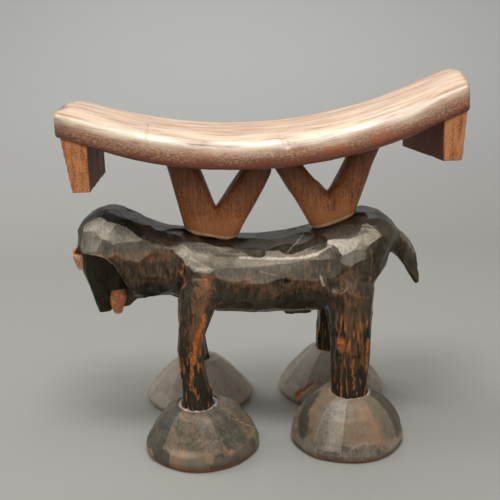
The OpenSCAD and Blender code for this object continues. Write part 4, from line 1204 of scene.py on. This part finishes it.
class HEADREST_OT_pillow(bpy.types.Operator):
    """Carve and polish the pillow"""
    bl_idname = "headrest.pillow"
    bl_label = "Carve Pillow"

    def execute(self, context):
        rng = np.random.default_rng(57)
        made = polished(context.scene.headrest_colours, "hardwood_polished_pillow")
        low, high = (np.array(c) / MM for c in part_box("pillow"))
        wood = blank("pillow", 0.6, 5)
        out = wood.normals(4)
        wood.swell(0.2)
        cuts = Cuts()
        cuts.over(wood, out[:, 2] > 0.5, 14, 0.12, 0.8, rng, ALONG, 2.6)
        cuts.over(wood, out[:, 2] <= 0.5, 8, 0.2, 1.5, rng, ALONG, 1.6)
        carve(wood, cuts, 0.4)
        # How far each point is above the curve of the top
        x, _, z = wood.start.T
        upper = out[:, 2] > 0.9
        drop = z - np.polyval(np.polyfit(x[upper], z[upper], 6), x)
        # The neck has rubbed the upper edges round, but not the ends
        soft = (smooth_step(drop, -13, -8) * smooth_step(-np.abs(x), -91, -84))[:, None]
        for _ in range(110):
            wood.points = wood.points + soft * (wood.spread(wood.points, 0.5) - wood.points)
        wood.crease(PILLOW_CREASES)
        mark_pillow(wood, out, drop)
        wood.points = np.clip(wood.points, low + 2 * INSET, high - 2 * INSET)
        settle(finished(wood, "carved_pillow"), "polished_wood", made, "pillow")
        return {"FINISHED"}


class HEADREST_OT_lugs(bpy.types.Operator):
    """Carve the square lugs under the pillow's ends"""
    bl_idname = "headrest.lugs"
    bl_label = "Carve Lugs"

    def execute(self, context):
        rng = np.random.default_rng(61)
        made = oiled("hardwood_raw_lugs", context.scene.headrest_colours.lug, linear("#dfa374"),
                     linear("#4e2d18"), linear("#e8bd8e"), LUG_FIBRE, (0.55, 0.7))
        for node in ("head_end_lug", "tail_end_lug"):
            wood = blank(node, 0.5, 3)
            wood.swell(0.15)
            stand = wood.convexity(SMALL_WORN_REACH)
            whittle(wood, 9, 0.2, 1.5, 0.4, rng)
            wood.mark("wear", np.clip((stand - 0.4) / 2, 0, 0.5))
            wood.mark("pale", np.clip((stand - 0.9) / 1.2, 0, 0.5))
            # The inner face and the corner under the pillow are darkened with painted shade
            inward = -np.sign(wood.start[:, 0].mean()) * wood.normals(2)[:, 0]
            wood.mark("dark", 0.85 * smooth_step(inward, 0.3, 0.7))
            wood.mark("dark", 0.6 * smooth_step(-away_from(wood.start, "pillow"), -1.5, -0.2))
            settle(finished(wood, "carved_" + node), "raw_wood", made, node)
        return {"FINISHED"}


class HEADREST_OT_stage(bpy.types.Operator):
    """Set the floor, the lamps and the photograph's camera"""
    bl_idname = "headrest.stage"
    bl_label = "Set Stage"

    def execute(self, context):
        sizes = context.scene.headrest_sizes
        deselect()
        # A sheet of paper, in metres: it lies flat under the object, bends up behind it and rises
        width, length, front, flat, radius = 6, 4.2, -1.4, 2.2, 0.9
        bpy.ops.mesh.primitive_grid_add(x_subdivisions=8, y_subdivisions=60, size=1)
        floor = context.object
        floor.name = "floor"
        for v in floor.data.vertices:
            run = length * (v.co.y + 0.5)
            bend = min(max((run - flat) / radius, 0), math.pi / 2)
            rise = max(run - flat - radius * math.pi / 2, 0)
            v.co.y = front + min(run, flat) + radius * math.sin(bend)
            v.co.z = radius * (1 - math.cos(bend)) + rise
            v.co.x *= width
        floor.data.shade_smooth()
        # Matt paper with painted light: lighter where it runs back and rises
        made, tree, shader = material("painted_paper_sweep")
        where = add(tree, "TexCoord").outputs["Object"]
        depth = add(tree, "SeparateXYZ", {0: where}).outputs[1]
        share = add(tree, "MapRange", {"Value": depth, "From Min": 0.3, "From Max": 1.6}).outputs[0]
        colour = add(tree, "Mix", {0: share, 6: context.scene.headrest_colours.paper,
                                   7: linear("#f6f7f6")}, data_type="RGBA").outputs[2]
        tree.links.new(colour, shader.inputs["Base Color"])
        shader.inputs["Roughness"].default_value = 0.75
        floor.data.materials.append(made)
        camera = bpy.data.objects.new("camera", bpy.data.cameras.new("camera"))
        bpy.context.collection.objects.link(camera)
        turn = Matrix((VIEW_RIGHT, VIEW_UP, [-c for c in VIEW_FORWARD])).transposed()
        camera.matrix_world = Matrix.Translation(Vector(EYE) * MM) @ turn.to_4x4()
        camera.data.lens = LENS
        camera.data.clip_start, camera.data.clip_end = 0.01, 20
        context.scene.camera = camera
        # Place, width and power of each lamp, which all aim at the middle of the rest
        middle = Vector((0, 0, 0.08))
        for name, place, size, power in (
                ("overhead", (0.0, -0.12, 0.95), 0.6, sizes.key_light),
                ("skylight", (-0.02, -0.24, 0.95), 0.22, 2.6),
                ("window", (-0.72, 0.28, 0.8), 0.5, 3.4),
                ("back_window", (0.1, 1.1, 0.86), 0.8, 1.5),
                ("fill", (0.4, -1.0, 0.5), 0.9, 1.2)):
            data = bpy.data.lights.new(name, "AREA")
            data.size, data.energy = size, power
            lamp = bpy.data.objects.new(name, data)
            lamp.location = place
            aim = middle - lamp.location
            lamp.rotation_euler = aim.to_track_quat("-Z", "Y").to_euler()
            bpy.context.collection.objects.link(lamp)
        world = bpy.data.worlds.new("soft_room")
        world.use_nodes = True
        world.node_tree.nodes["Background"].inputs["Color"].default_value = linear("#e4e2de")
        world.node_tree.nodes["Background"].inputs["Strength"].default_value = 0.35
        context.scene.world = world
        context.scene.view_settings.view_transform = "Standard"
        return {"FINISHED"}


class HEADREST_PT_panel(bpy.types.Panel):
    """The headrest's sizes and colours, and a button for each group of pieces"""
    bl_idname = "HEADREST_PT_panel"
    bl_label = "Headrest"
    bl_space_type = "VIEW_3D"
    bl_region_type = "UI"
    bl_category = "Headrest"

    def draw(self, context):
        for group in (context.scene.headrest_sizes, context.scene.headrest_colours):
            for key in type(group).__annotations__:
                self.layout.prop(group, key)
        for cls in OPERATORS:
            self.layout.operator(cls.bl_idname)


OPERATORS = (HEADREST_OT_stage, HEADREST_OT_body, HEADREST_OT_face, HEADREST_OT_sheath,
             HEADREST_OT_feet, HEADREST_OT_struts, HEADREST_OT_pillow, HEADREST_OT_lugs)
CLASSES = (HeadrestSizes, HeadrestColours, *OPERATORS, HEADREST_PT_panel)


def register():
    for cls in CLASSES:
        bpy.utils.register_class(cls)
    bpy.types.Scene.headrest_sizes = PointerProperty(type=HeadrestSizes)
    bpy.types.Scene.headrest_colours = PointerProperty(type=HeadrestColours)


def unregister():
    del bpy.types.Scene.headrest_colours
    del bpy.types.Scene.headrest_sizes
    for cls in reversed(CLASSES):
        bpy.utils.unregister_class(cls)


def main():
    register()
    for cls in OPERATORS:
        getattr(bpy.ops.headrest, cls.bl_idname.split(".")[1])()


if __name__ == "__main__":
    main()
